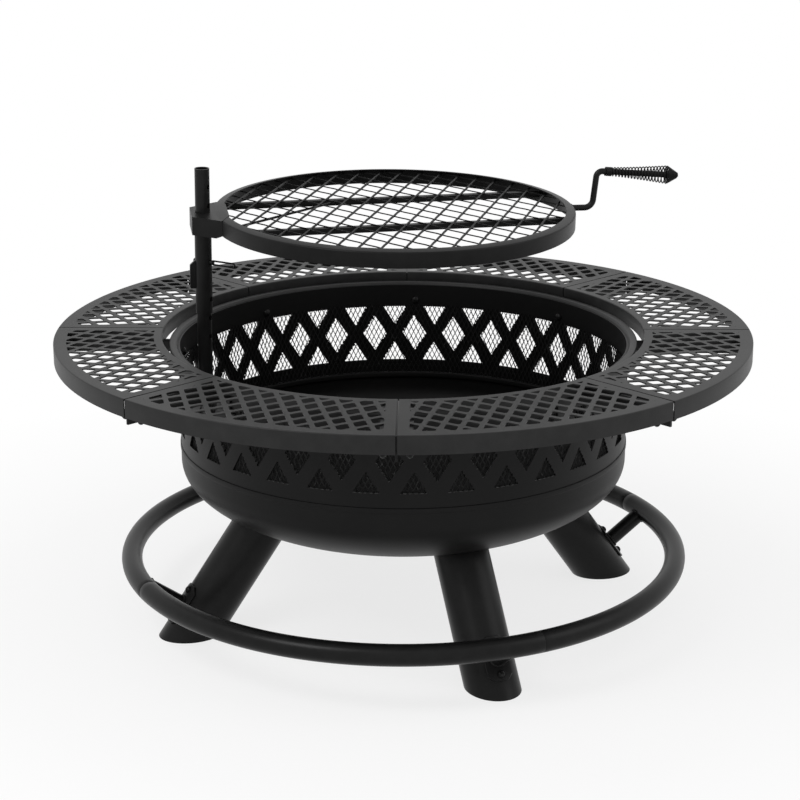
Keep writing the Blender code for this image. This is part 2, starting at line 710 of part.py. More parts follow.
def sleeve_mesh():
    """Tube that slides on the post, with a keeper plate for the pin on its far side."""
    bore = clear_radius(POST_RADIUS + GAP, POST_SIDES)
    top = -BRACKET_SHEET - GAP
    profile = [(bore, -SLEEVE_BOTTOM_DROP), (SLEEVE_RADIUS, -SLEEVE_BOTTOM_DROP),
               (SLEEVE_RADIUS, top), (bore, top)]
    tube = turned("sleeve", profile, POST_SIDES)
    holes = [cross_hole(PIN_DROP + step * PIN_HOLE_PITCH, 2 * SLEEVE_RADIUS) for step in SLEEVE_HOLES]
    drilled = combined(tube, holes, "DIFFERENCE")
    high = -KEEPER_TOP_DROP
    low = high - KEEPER_HEIGHT
    outer = -SLEEVE_RADIUS - KEEPER_REACH
    seat = -bore - GAP
    outline = [(outer, low), (seat, low), (seat, high), (outer, high - KEEPER_REACH)]
    stand = Matrix.Rotation(math.pi / 2, 4, "X")
    half = KEEPER_THICKNESS / 2
    keeper = moved(plate("keeper", outline, -half, half), stand)
    return combined(drilled, [keeper], "UNION")


def bracket_mesh():
    """Folded and flared cover plate from the sleeve to the grate's rim."""
    half_end = BRACKET_END_WIDTH / 2
    half_flare = BRACKET_FLARE / 2
    rim = GRATE_RADIUS + GAP
    far = GRATE_REACH - math.sqrt(rim ** 2 - half_flare ** 2)
    arc = []
    limit = math.asin(half_flare / rim)
    outer = clear_radius(rim, GRATE_STEPS)
    for index in range(BRACKET_ARC_STEPS + 1):
        angle = limit - 2 * limit * index / BRACKET_ARC_STEPS
        arc.append((GRATE_REACH - outer * math.cos(angle), outer * math.sin(angle)))
    end = -SLEEVE_RADIUS - GAP - BRACKET_SHEET
    outline = [(end, half_end), (end, -half_end), (far, -half_flare), *reversed(arc[1:-1]),
               (far, half_flare)]
    cover = plate("grate_bracket", outline, -BRACKET_DEPTH, 0)
    sheet = BRACKET_SHEET
    slope = math.atan2(half_flare - half_end, far - end)
    shrink = sheet * math.tan((math.pi / 2 - slope) / 2)
    inner_half = half_end - shrink
    run = GRATE_REACH
    hollow_outline = [(end + sheet, inner_half), (end + sheet, -inner_half),
                      (end + sheet + run, -inner_half - run * math.tan(slope)),
                      (end + sheet + run, inner_half + run * math.tan(slope))]
    hollow = plate("hollow", hollow_outline, -2 * BRACKET_DEPTH, -sheet)
    room = clear_radius(POST_RADIUS + GAP, POST_SIDES)
    bore_profile = [(0, -BRACKET_DEPTH), (room, -BRACKET_DEPTH), (room, BRACKET_DEPTH), (0, BRACKET_DEPTH)]
    bore = lathed("bore", bore_profile, POST_SIDES)
    return combined(cover, [hollow, bore], "DIFFERENCE")


def frame_mesh():
    """Rim of the grate: an angle rolled into a ring."""
    outer = GRATE_RADIUS
    inner = outer - GRATE_FLANGE_WIDTH
    wall = outer - GRATE_SHEET
    profile = [(outer, 0), (inner, 0), (inner, -GRATE_SHEET), (wall, -GRATE_SHEET),
               (wall, -GRATE_BAND_HEIGHT), (outer, -GRATE_BAND_HEIGHT)]
    return turned("grate_frame", profile, GRATE_STEPS)


def mesh_disc():
    """Expanded metal disc that lies under the frame's flange."""
    low = -GRATE_SHEET - GAP - MESH_THICKNESS
    high = -GRATE_SHEET - GAP
    rim = flat_radius(GRATE_RADIUS - GRATE_SHEET, GRATE_STEPS) - GAP
    disc = plate("grate_mesh", [(rim * math.cos(FULL_TURN * index / GRATE_STEPS),
                                 rim * math.sin(FULL_TURN * index / GRATE_STEPS))
                                for index in range(GRATE_STEPS)], low, high)
    edge = GRATE_RADIUS - GRATE_FLANGE_WIDTH - MESH_STRAND / 2
    outlines = diamonds(0, MESH_PITCH, MESH_CROSS_PITCH, MESH_STRAND, GRATE_RADIUS,
                        lambda point: [(point.normalized() if point.length else Vector((1, 0)), edge)])
    cut = punched(disc, outlines, low - MESH_THICKNESS, high + MESH_THICKNESS)
    return moved(cut, Matrix.Rotation(BAR_TURN + math.pi / 2, 4, "Z"))


def bar_mesh():
    """Square bar along X that carries the mesh across the frame."""
    high = -GRATE_SHEET - 2 * GAP - MESH_THICKNESS
    wall = flat_radius(GRATE_RADIUS - GRATE_SHEET, GRATE_STEPS) - GAP
    half = BAR_SIDE / 2
    reach = math.sqrt(wall ** 2 - (BAR_SPREAD + half) ** 2)
    return box("cross_bar", (-reach, -half, high - BAR_SIDE), (reach, half, high))


def brace_mesh():
    """Thin rod under the mesh, from the rim's wall to the side of the second bar."""
    level = -GRATE_SHEET - 2 * GAP - MESH_THICKNESS - BRACE_RADIUS
    wall = flat_radius(GRATE_RADIUS - GRATE_SHEET, GRATE_STEPS) - GAP - BRACE_RADIUS
    start = (wall * math.cos(BRACE_AZIMUTH), wall * math.sin(BRACE_AZIMUTH), level)
    end = (BRACE_END_X, BAR_SPREAD - BAR_SIDE / 2 - GAP - BRACE_RADIUS, level)
    return pipe("brace_rod", [start, end], BRACE_RADIUS, 8)


def handle_mesh():
    """Rod that leaves the rim, bends up and out and ends inside the grip."""
    start = GRATE_RADIUS + ROD_GRIP_START
    top = ROD_RISE - ROD_DROP
    drop = ROD_IN_GRIP * math.sin(GRIP_DROOP)
    rise = math.tan(GRIP_DROOP) * (ROD_GRIP_START - ROD_RISER)
    points = [(GRATE_RADIUS + GAP, 0, -ROD_DROP), (GRATE_RADIUS + ROD_FIRST_BEND, 0, -ROD_DROP),
              (GRATE_RADIUS + ROD_RISER, 0, top + rise),
              (start + ROD_IN_GRIP * math.cos(GRIP_DROOP), 0, top - drop)]
    return pipe("handle_rod", points, ROD_RADIUS, 12, ROD_BEND_RADIUS)


def grip_mesh():
    """Outer shape of the wound wire grip, with a blind bore for the rod's end."""
    bore = clear_radius(ROD_RADIUS + GAP, GRIP_SIDES // 2)
    profile = [(0, ROD_IN_GRIP + GAP), (bore, ROD_IN_GRIP + GAP), (bore, 0)]
    for index in range(GRIP_SWELL_STEPS + 1):
        share = index / GRIP_SWELL_STEPS
        swell = math.sin(share * math.pi / 2)
        profile.append((GRIP_END_RADIUS + (GRIP_RADIUS - GRIP_END_RADIUS) * swell, GRIP_FATTEST * share))
    shoulder = GRIP_TIP_RADIUS + (GRIP_RADIUS - GRIP_TIP_RADIUS) * GRIP_SHOULDER_SHARE
    profile += [(shoulder, (GRIP_FATTEST + GRIP_LENGTH) / 2), (GRIP_TIP_RADIUS, GRIP_LENGTH),
                (0, GRIP_LENGTH)]
    lay = Matrix.Rotation(math.pi / 2 + GRIP_DROOP, 4, "Y")
    start = Matrix.Translation((GRATE_RADIUS + ROD_GRIP_START, 0, ROD_RISE - ROD_DROP))
    return moved(lathed("coil_grip", profile, GRIP_SIDES), start @ lay)


def pin_mesh():
    """Pin through sleeve and post, with a wire loop to pull it by."""
    way = Vector((math.cos(PIN_AZIMUTH), math.sin(PIN_AZIMUTH), 0))
    far = SLEEVE_RADIUS + PIN_PAST_SLEEVE
    sideways = Vector((-way.y, way.x, 0))
    pin = pipe("lock_pin", [-way * far, way * (far + LOOP_WIRE_RADIUS)], PIN_RADIUS, 12)
    half = LOOP_WIDTH / 2 * Vector((0, 0, 1))
    root = way * far
    tip = way * (far + LOOP_LENGTH)
    loop = pipe("loop", [root + half, tip + half, tip - half, root - half], LOOP_WIRE_RADIUS, 8)
    return combined(pin, [loop], "UNION")


def build():
    """All pieces, in place."""
    for old in list(bpy.data.objects):
        bpy.data.objects.remove(old, do_unlink=True)
    coat = material("satin_black_coat", (0.055, 0.055, 0.055), 0.45, 0.2)
    heat_coat = material("heat_black_coat", (0.030, 0.030, 0.030), 0.55, 0.2)
    wire = material("dark_wire", (0.08, 0.08, 0.08), 0.40, 0.6)
    zinc = material("black_bolt", (0.05, 0.05, 0.05), 0.35, 0.5)

    seam_step = FULL_TURN / PANEL_COUNT
    table_level = (0, 0, TABLE_TOP)
    panel = panel_mesh()
    arm = arm_mesh()
    arm_bolt = bolt_mesh("arm_bolt", ARM_BOLT_RADIUS, ARM_BOLT_HEIGHT)
    bolt_seat = flat_radius(BAND_RADIUS - BAND_SHEET, BOWL_STEPS) - GAP
    for index in range(PANEL_COUNT):
        seam = FIRST_SEAM + index * seam_step
        place(f"table_panel_{index + 1}", panel, coat, location=table_level, turn=seam + seam_step / 2)
        place(f"table_arm_{index + 1}", arm, coat, location=table_level, turn=seam)
        turn = seam - ARM_BOLT_OFFSET / BAND_RADIUS
        spot = (bolt_seat * math.cos(turn), bolt_seat * math.sin(turn), TABLE_TOP - ARM_BOLT_DROP)
        bolt = place(f"arm_bolt_{index + 1}", arm_bolt, zinc, location=spot)
        bolt.rotation_euler = (0, -math.pi / 2, turn)

    place("bowl_band", band_mesh(), heat_coat, location=table_level)
    place("bowl_dish", dish_mesh(), heat_coat, location=table_level)
    place("spark_screen", screen_mesh(), heat_coat, location=table_level)
    place("rim_hoop", hoop_mesh(), coat, location=table_level)

    leg = leg_mesh()
    ring = ring_mesh()
    leg_bolt = bolt_mesh("leg_bolt", BOLT_HEAD_RADIUS, BOLT_HEAD_HEIGHT)
    bolt_out = LEG_RADIUS + SADDLE_THICKNESS + 3 * GAP
    lay = Matrix.Rotation(math.pi / 2, 4, "Y")
    for index in range(LEG_COUNT):
        turn = LEG_FIRST + index * FULL_TURN / LEG_COUNT
        place(f"leg_{index + 1}", leg, coat, turn=turn)
        place(f"ring_segment_{index + 1}", ring, coat, turn=turn)
        for end, side in (("low", -1), ("high", 1)):
            seat = Matrix.Translation((bolt_out, 0, STUB_UP_LEG + side * SADDLE_BOLT_SPREAD))
            bolt = place(f"leg_bolt_{end}_{index + 1}", leg_bolt, zinc)
            bolt.matrix_world = Matrix.Rotation(turn, 4, "Z") @ LEG @ seat @ lay

    place("post_socket", socket_mesh(), heat_coat)
    lean = bpy.data.objects.new("post_axis", None)
    bpy.context.collection.objects.link(lean)
    lean.location = LEAN.to_translation()
    lean.rotation_euler = LEAN.to_euler()
    swing = bpy.data.objects.new("grate_swing", None)
    bpy.context.collection.objects.link(swing)
    swing.parent = lean
    swing.rotation_euler = (0, 0, SWING_AT_REST)
    middle = (GRATE_REACH, 0, 0)
    place("post", post_mesh(), coat, swing)
    place("grate_sleeve", sleeve_mesh(), coat, swing)
    place("grate_bracket", bracket_mesh(), coat, swing)
    place("grate_frame", frame_mesh(), coat, swing, middle)
    place("grate_mesh", mesh_disc(), wire, swing, middle)
    bar = bar_mesh()
    for index, side in enumerate((-1, 1)):
        offset = Matrix.Rotation(BAR_TURN, 3, "Z") @ Vector((0, side * BAR_SPREAD, 0))
        place(f"cross_bar_{index + 1}", bar, coat, swing, Vector(middle) + offset, BAR_TURN)
    place("brace_rod", brace_mesh(), coat, swing, middle, BAR_TURN)
    place("handle_rod", handle_mesh(), coat, swing, middle)
    place("coil_grip", grip_mesh(), wire, swing, middle)
    place("lock_pin", pin_mesh(), wire, swing, (0, 0, -PIN_DROP))


build()
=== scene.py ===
"""Looks of the fire pit grill: coated sheet steel, expanded steel, tube legs and a wound wire grip.

Metres, +Z up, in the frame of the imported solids. Each surface is worked out as whole arrays.
"""

import math

import bmesh
import bpy
import numpy as np
from mathutils import Matrix, Vector


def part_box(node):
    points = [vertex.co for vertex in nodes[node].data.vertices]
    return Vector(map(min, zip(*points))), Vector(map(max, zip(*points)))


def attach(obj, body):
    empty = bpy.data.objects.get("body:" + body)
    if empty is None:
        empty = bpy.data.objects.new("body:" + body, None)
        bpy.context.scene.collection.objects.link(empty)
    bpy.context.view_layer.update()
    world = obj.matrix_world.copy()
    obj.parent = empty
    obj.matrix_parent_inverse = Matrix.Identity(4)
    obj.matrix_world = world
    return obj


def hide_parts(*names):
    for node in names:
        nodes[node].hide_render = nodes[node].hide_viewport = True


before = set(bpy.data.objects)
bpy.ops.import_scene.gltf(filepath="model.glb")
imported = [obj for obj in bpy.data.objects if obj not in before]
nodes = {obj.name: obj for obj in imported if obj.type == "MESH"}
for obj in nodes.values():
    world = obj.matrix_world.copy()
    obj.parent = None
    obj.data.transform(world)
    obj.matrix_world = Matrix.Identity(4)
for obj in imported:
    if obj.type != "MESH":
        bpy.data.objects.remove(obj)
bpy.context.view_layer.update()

TURN = 2 * math.pi
GAP = 0.0003

# Table
TABLE_TOP = 0.508
TABLE_RADIUS = 0.600
OPENING_RADIUS = 0.416
PANELS = 8
PANEL_SHEET = 0.002
OUTER_FLANGE = 0.030
INNER_FLANGE = 0.0255
FLANGE_BY_ARM = 0.0200
ARM_CLEARANCE = 0.004
ARM_RAMP = 0.004
PANEL_BEND = 0.0018
SEAM_GAP = 0.0026
FIRST_SEAM = math.radians(-90)
HOLE_PITCH = 0.050
HOLE_CROSS_PITCH = 0.035
HOLE_STRAND = 0.0078
HOLE_CORNER = 0.0035
HOLE_END_CORNER = 0.001
HOLE_ROW = 0.497
HOLES_OUTSIDE = 0.578
HOLES_INSIDE = 0.430
HOLES_BESIDE_SEAM = 0.019
PANEL_STEP = 0.0021
NUT_RADIUS = 0.0062
NUT_HEIGHT = 0.0105
NUT_WASHER = 0.0085
NUT_REACH = 0.5835
NUT_SPREAD = 0.020
ARM_BOLT_RADIUS = 0.0072
ARM_BOLT_HEIGHT = 0.0058
ARM_BOLT_GAP = 0.0002
WASHER_SHEET = 0.0012

# Bowl, heights as drops below the table top
BAND_RADIUS = 0.389
BAND_SHEET = 0.003
BAND_TOP = 0.0185
BAND_BOTTOM = 0.190
BAND_STEP = 0.0034
CROSSINGS = 32
FIRST_CROSSING = math.radians(-86.6)
CROSSING_DROP = 0.1125
TRIANGLE_WIDTH = 0.0435
TRIANGLE_HEIGHT = 0.0350
UPPER_TRIANGLES = 0.060
LOWER_TRIANGLES = 0.166
DIAMOND_WIDTH = 0.045
DIAMOND_HEIGHT = 0.067
SCREEN_RADIUS = 0.3837
SCREEN_TOP = 0.0555
SCREEN_CELL = 0.009
SCREEN_CELL_HEIGHT = 0.018
SCREEN_STRAND = 0.0014
SCREEN_HALF_SHARE = 0.56
SCREEN_LEAN = 0.00035
SCREEN_INSET = 0.0008
SCREEN_HALF_SHEET = 0.0004
HOOP_INSIDE = 0.3925
HOOP_WIDTH = 0.012
HOOP_HEIGHT = 0.0064
HOOP_CORNER = 0.0028
HOOP_LIP = 0.0022
SHOULDER_DROP = 0.0205
DISH_RADIUS = 0.3905
DISH_SHEET = 0.003
DISH_WALL = 0.2188
DISH_DEPTH = 0.1348
DISH_SQUARENESS = 2.05
DISH_STEPS = 36
LIP_WIDTH = 0.010
LIP_THICKNESS = 0.0087
LIP_PAST_WALL = 0.0012
LIP_FADE = 0.03

# Legs and the ring of pipe round them
LEGS = 4
FIRST_LEG = math.radians(-157.5)
LEG_RADIUS = 0.0459
LEG_WALL = 0.0025
LEG_SIDES = 64
LEG_LONGEST = 0.36
HALVINGS = 40
LEG_TILT = math.radians(35.5)
FOOT_RADIUS = 0.397
STUB_UP_LEG = 0.0375
STUB_REACH = 0.1314
STUB_RADIUS = 0.0135
PIPE_RADIUS = 0.018
PIPE_STEPS = 60
PIPE_SIDES = 28
JOINT_PAST_LEG = math.radians(5.5)
JOINT_GAP = 0.0002
JOINT_ROUND = 0.0005
SADDLE_LENGTH = 0.075
SADDLE_WIDTH = 0.042
SADDLE_SHEET = 0.003
SADDLE_CORNER = 0.010
SADDLE_EDGE = 0.0008
BOLT_SPREAD = 0.027
BOLT_RADIUS = 0.007
BOLT_HEIGHT = 0.005
BOLT_WASHER_EDGE = 0.0012
STUB_BEAD = 0.0020
RING_BEAD = 0.0022
BEAD_LUMPS = 34
BEAD_SEAT = 0.0006
RING_BEAD_SINK = 0.003

# Post, on its leaning axis; drops from the grate's top
POST_X = -0.3360
POST_Y = -0.0566
GRATE_HEIGHT = 0.7248
LEAN_ACROSS = 0.02455
LEAN_ALONG = 0.01453
SWING = math.radians(9.9)
POST_RADIUS = 0.0125
POST_TOP = 0.0749
POST_LENGTH = 0.4599
POST_WALL = 0.0018
PLUG_DROP = 0.009
PLUG_SHEET = 0.003
POST_STEP = 0.0016
HOLES_EACH_WAY = 4
PIN_DROP = 0.0857
PIN_PITCH = 0.0325
PIN_AZIMUTH = math.radians(-35)
PIN_RADIUS = 0.004
PIN_PAST_SLEEVE = 0.004
SLEEVE_RADIUS = 0.0143
SLEEVE_TOP = 0.0028
SLEEVE_BOTTOM = 0.175
SLEEVE_STEP = 0.0018
KEEPER_HEIGHT = 0.050
KEEPER_REACH = 0.009
KEEPER_THICKNESS = 0.006
KEEPER_DROP = 0.082
KEEPER_SINK = 0.0008
LOOP_WIRE = 0.0015
LOOP_WIDTH = 0.0064
LOOP_LENGTH = 0.043

# Grate
GRATE_REACH = 0.3275
GRATE_RADIUS = 0.3075
RIM_HEIGHT = 0.026
RIM_FLANGE = 0.016
RIM_SHEET = 0.0025
RIM_CROWN = 0.003
RIM_BEND = 0.003
BRACKET_SHEET = 0.0025
BRACKET_DEPTH = 0.031
BRACKET_END = 0.0200
BRACKET_HALF_END = 0.036
BRACKET_HALF_RIM = 0.070
BRACKET_LAP = 0.0415
BRACKET_HALF_LAP = 0.044
BRACKET_LIFT = 0.0004
BRACKET_RISE = 0.005
BRACKET_RISE_START = 0.8
BAR_SHARE = 0.77
MESH_DROP = 0.0028
STEEP_STEP = (-0.0154, -0.0361)
SLANT_STEP = (0.0246, -0.0334)
STEEP_SHIFT = 0.0092
MESH_STRAND = 0.0027
MESH_HEIGHT = 0.0020
MESH_OFF_WALL = 0.001
MESH_ROLL = 0.0003
STEEP_SWAY = 0.0003
SLANT_SWAY = 0.0009
SLANT_DROP = 0.0001
ROD_RADIUS = 0.0053
ROD_DROP = 0.008
ROD_FIRST_BEND = 0.0372
ROD_RISER = 0.0434
ROD_RISE = 0.0630
ROD_LOWER_BEND = 0.015
ROD_UPPER_BEND = 0.0105
GRIP_START = 0.0570
GRIP_DROOP = math.radians(4.3)
GRIP_LENGTH = 0.1305
GRIP_NECK = 0.012
GRIP_NECK_RADIUS = 0.0081
GRIP_RADIUS = 0.0162
GRIP_FATTEST = 0.1105
GRIP_TIP_RADIUS = 0.0038
GRIP_WIRE = 0.0011
GRIP_PITCH = 0.0056
ROD_END_INSET = 0.004
TIP_LENGTH = 0.006
COLLAR_BEAD = 0.0018
COLLAR_LUMPS = 20

LEAN = (Matrix.Translation((POST_X, POST_Y, GRATE_HEIGHT)) @ Matrix.Rotation(LEAN_ALONG, 4, "Y")
        @ Matrix.Rotation(LEAN_ACROSS, 4, "X") @ Matrix.Rotation(SWING, 4, "Z"))
GRATE = LEAN @ Matrix.Translation((GRATE_REACH, 0, 0))


# Surfaces

# A point this near to a cut edge slides onto it, as a share of its grid's step, on the bracket in metres
PANEL_SNAP = 0.75
BAND_SNAP = 0.45
TUBE_SNAP = 0.72
BRACKET_SNAP = 0.0008
EDGE = 0.0006
GRATE_EDGE = 0.0009
NEAREST = 1e-6
SHARP_ANGLE = math.radians(35)
BEVEL_ANGLE = math.radians(25)
FLAT_ANGLE = math.radians(1)
SQUARE = np.array([[-1, -1], [1, -1], [1, 1], [-1, 1]])


def quads(rows, columns, round_rows=False, round_columns=False):
    """Faces of a grid of points: each point with the next along its row and the next row up."""
    r, c = np.meshgrid(np.arange(rows if round_rows else rows - 1),
                       np.arange(columns if round_columns else columns - 1), indexing="ij")
    up, on = (r + 1) % rows, (c + 1) % columns
    return np.stack([r * columns + c, r * columns + on, up * columns + on, up * columns + c], -1).reshape(-1, 4)


def halved(four):
    """Each face of four corners as two of three."""
    return np.concatenate([four[:, [0, 1, 2]], four[:, [0, 2, 3]]])


def circle(steps):
    """Angles of a full turn, evenly spaced."""
    return np.linspace(0, TURN, steps, endpoint=False)


def unit(vectors):
    """Vectors cut or stretched to length one."""
    return vectors / np.linalg.norm(vectors, axis=-1, keepdims=True)


def upright(radius, angle, height):
    """Points about Z from a radius, an angle and a height."""
    return np.stack(np.broadcast_arrays(radius * np.cos(angle), radius * np.sin(angle), height), -1)


def surface(points, round_rows=False, round_columns=False):
    """Points of shape (rows, columns, 3) and the faces between them."""
    rows, columns = points.shape[:2]
    return points.reshape(-1, 3), quads(rows, columns, round_rows, round_columns)


def joined(*parts):
    """Several surfaces as one."""
    starts = np.cumsum([0] + [len(points) for points, faces in parts[:-1]])
    return (np.concatenate([points for points, faces in parts]),
            np.concatenate([np.pad(faces, ((0, 0), (0, 4 - faces.shape[1])), mode="edge") + start
                            for (points, faces), start in zip(parts, starts)]))


def moved(part, matrix):
    """A surface under a 4 x 4 matrix."""
    points, faces = part
    m = np.array(matrix)
    return points @ m[:3, :3].T + m[:3, 3], faces


def around(angle):
    """Turn about Z as a matrix."""
    return Matrix.Rotation(angle, 4, "Z")


def spread(stops, step):
    """Values through every stop, evenly spaced between two stops and never more than a step apart."""
    stops = np.asarray(stops, float)
    runs = [np.linspace(a, b, max(1, math.ceil(abs(b - a) / step - 1e-9)) + 1)[:-1]
            for a, b in zip(stops, stops[1:])]
    return np.concatenate([*runs, stops[-1:]])


def rounded(corners, radii, steps=4, closed=True):
    """Outline with arcs at its corners.

    An arc's centre stands on the corner's bisector, at the radius divided by the sine of half the corner's angle.
    """
    p = np.asarray(corners, float)
    radii = np.asarray(radii, float)
    before = unit(np.roll(p, 1, 0) - p)
    after = unit(np.roll(p, -1, 0) - p)
    half = np.arccos(np.clip((before * after).sum(1), -1, 1)) / 2
    middle = before + after
    middle /= np.maximum(np.linalg.norm(middle, axis=1, keepdims=True), 1e-12)
    centre = p + middle * (radii / np.sin(half))[:, None]
    touch = (radii / np.tan(half))[:, None]
    first = p + before * touch - centre
    last = p + after * touch - centre
    start = np.arctan2(first[:, 1], first[:, 0])
    sweep = (np.arctan2(last[:, 1], last[:, 0]) - start + math.pi) % TURN - math.pi
    angle = start[:, None] + sweep[:, None] * np.linspace(0, 1, steps + 1)
    arcs = centre[:, None] + radii[:, None, None] * np.stack([np.cos(angle), np.sin(angle)], -1)
    if not closed:
        return np.concatenate([p[:1], arcs[1:-1].reshape(-1, 2), p[-1:]])
    return arcs.reshape(-1, 2)


def turned(profile, steps, closed=True):
    """Profile of (radius, height) points spun a full turn about Z; closed joins its last point to its first."""
    profile = np.asarray(profile, float)[:, None]
    return surface(upright(profile[..., 0], circle(steps), profile[..., 1]), closed, True)


def rod(path, radius, sides, across):
    """Round rod along a path: a circle square to the path at each point, shrunk to nothing at both ends."""
    way = unit(np.gradient(path, axis=0))
    side = unit(np.cross(way, across))
    up = np.cross(side, way)
    path, side, up = (np.concatenate([a[:1], a, a[-1:]])[:, None] for a in (path, side, up))
    radius = np.full((len(path), 1, 1), radius)
    radius[[0, -1]] = 0
    angle = circle(sides)[:, None]
    return surface(path + radius * (np.cos(angle) * side + np.sin(angle) * up), False, True)


def bar(radius, low, high, low_round, high_round, sides):
    """Round bar about Z between two heights, its two rims rounded."""
    outline = rounded([(0, low), (radius, low), (radius, high), (0, high)], [0, low_round, high_round, 0],
                      closed=False)
    return turned(outline, sides, closed=False)


def opened(x, y, metal, reach):
    """Triangles of a flat grid that lie on metal, where metal(x, y) is the distance to the nearest cut edge.

    Points nearer to an edge than reach first slide onto it, down the slope of that distance. A triangle stays if
    its corners and middle are on metal within a small slack, and if the sliding left it some area.
    """
    nudge, slides, least_slope = 1e-6, 4, 0.3
    corner_slack, middle_slack, least_area = 0.05, 0.02, 1e-4
    near = np.abs(metal(x, y)) < reach
    for slide in range(slides):
        gap = metal(x, y)
        along = (metal(x + nudge, y) - metal(x - nudge, y)) / (2 * nudge)
        up = (metal(x, y + nudge) - metal(x, y - nudge)) / (2 * nudge)
        steep = np.maximum(along ** 2 + up ** 2, least_slope)
        x = np.where(near, x - gap * along / steep, x)
        y = np.where(near, y - gap * up / steep, y)
    three = halved(quads(*x.shape))
    flat_x, flat_y = x.ravel(), y.ravel()
    on_metal = (metal(flat_x, flat_y) > -corner_slack * reach)[three].all(1)
    a, b, c = three.T
    twice = ((flat_x[b] - flat_x[a]) * (flat_y[c] - flat_y[a]) - (flat_x[c] - flat_x[a]) * (flat_y[b] - flat_y[a]))
    middle = metal(flat_x[three].mean(1), flat_y[three].mean(1)) > -middle_slack * reach
    sound = (np.abs(twice) > least_area * reach ** 2) | ~near.ravel()[three].any(1)
    return x, y, three[on_metal & middle & sound]


def thick(points, faces, inward):
    """Closed sheet: the surface, a copy of it moved inward, and a wall along each edge that only one face uses.

    Points in one place count as one point, so a rolled sheet has no wall at its seam.
    """
    used, faces = np.unique(faces, return_inverse=True)
    points, inward = points[used], inward[used]
    _, first, same = np.unique(np.round(points, 7), axis=0, return_index=True, return_inverse=True)
    points, inward, faces = points[first], inward[first], same.reshape(-1)[faces.reshape(-1, 3)]
    faces = faces[(faces != np.roll(faces, 1, 1)).all(1)]
    edges = np.concatenate([faces[:, [0, 1]], faces[:, [1, 2]], faces[:, [2, 0]]])
    key = np.sort(edges, 1)
    _, where, count = np.unique(key[:, 0] * len(points) + key[:, 1], return_index=True, return_counts=True)
    a, b = edges[where[count == 1]].T
    n = len(points)
    wall = np.stack([b, a, a + n, b + n], 1)
    sides = np.concatenate([faces, faces[:, ::-1] + n])
    return (np.concatenate([points, points + inward]),
            np.concatenate([np.pad(sides, ((0, 0), (0, 1)), mode="edge"), wall]))


def rolled(x, y, faces, radius, first, wall):
    """Flat sheet rolled to a radius about Z: x is the arc from the first azimuth, y the height, wall goes inward."""
    out = upright(1, (x / radius + first).ravel(), 0)
    points = out * radius
    points[:, 2] = y.ravel()
    return thick(points, faces, -out * wall)


def strands(points):
    """Four-sided strands from points of shape (strands, places, 4, 3), each closed at both ends."""
    many, places = points.shape[:2]
    ends = [[3, 2, 1, 0], [4 * places - 4, 4 * places - 3, 4 * places - 2, 4 * places - 1]]
    one = np.concatenate([quads(places, 4, False, True), ends])
    return points.reshape(-1, 3), (one[None] + 4 * places * np.arange(many)[:, None, None]).reshape(-1, 4)


def bevelled(made, width):
    """Small round on a piece's sharp edges."""
    soften = made.modifiers.new("eased edges", "BEVEL")
    soften.width = width
    soften.segments = 2
    soften.limit_method = "ANGLE"
    soften.angle_limit = BEVEL_ANGLE
    soften.harden_normals = True
    soften.use_clamp_overlap = True


def placed(name, data):
    """New object in the scene."""
    made = bpy.data.objects.new(name, data)
    bpy.context.scene.collection.objects.link(made)
    return made


def piece(name, part, finish, body, stands_for=()):
    """A surface as a named piece that rides on a body and stands for its solid, smooth apart from sharp edges."""
    points, faces = part
    mesh = bpy.data.meshes.new(name)
    three = faces[:, 2] == faces[:, 3]
    size = np.where(three, 3, 4)
    loops = faces.ravel()[np.stack([np.ones_like(three)] * 3 + [~three], 1).ravel()]
    mesh.vertices.add(len(points))
    mesh.vertices.foreach_set("co", points.astype(np.float32).ravel())
    mesh.loops.add(len(loops))
    mesh.loops.foreach_set("vertex_index", loops.astype(np.int32))
    mesh.polygons.add(len(faces))
    mesh.polygons.foreach_set("loop_start", np.concatenate([[0], np.cumsum(size)[:-1]]).astype(np.int32))
    mesh.update(calc_edges=True)
    mesh.validate()
    bm = bmesh.new()
    bm.from_mesh(mesh)
    bmesh.ops.remove_doubles(bm, verts=bm.verts, dist=NEAREST)
    bmesh.ops.dissolve_degenerate(bm, edges=bm.edges, dist=NEAREST)
    bmesh.ops.recalc_face_normals(bm, faces=bm.faces)
    bm.to_mesh(mesh)
    bm.free()
    mesh.shade_smooth()
    mesh.set_sharp_from_angle(angle=SHARP_ANGLE)
    made = placed(name, mesh)
    mesh.materials.append(finish)
    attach(made, body)
    if stands_for:
        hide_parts(*([stands_for] if isinstance(stands_for, str) else stands_for))
    return made


def eased(name, node, finish, body, width=EDGE, share=1.0):
    """Copy of a flat-sided solid: its loose triangles are merged and its edges bevelled.

    On the grate's level a point keeps only a share of its depth below the highest one.
    """
    mesh = nodes[node].data.copy()
    mesh.name = name
    mesh.materials.clear()
    bm = bmesh.new()
    bm.from_mesh(mesh)
    bmesh.ops.remove_doubles(bm, verts=bm.verts, dist=NEAREST)
    bmesh.ops.dissolve_limit(bm, angle_limit=FLAT_ANGLE, verts=bm.verts, edges=bm.edges)
    if share < 1:
        bm.transform(GRATE.inverted())
        high = max(v.co.z for v in bm.verts)
        for v in bm.verts:
            v.co.z = high - (high - v.co.z) * share
        bm.transform(GRATE)
    bm.to_mesh(mesh)
    bm.free()
    mesh.shade_smooth()
    made = placed(name, mesh)
    mesh.materials.append(finish)
    bevelled(made, width)
    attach(made, body)
    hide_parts(node)


# Finishes

WIRE_SHEEN = 0.12


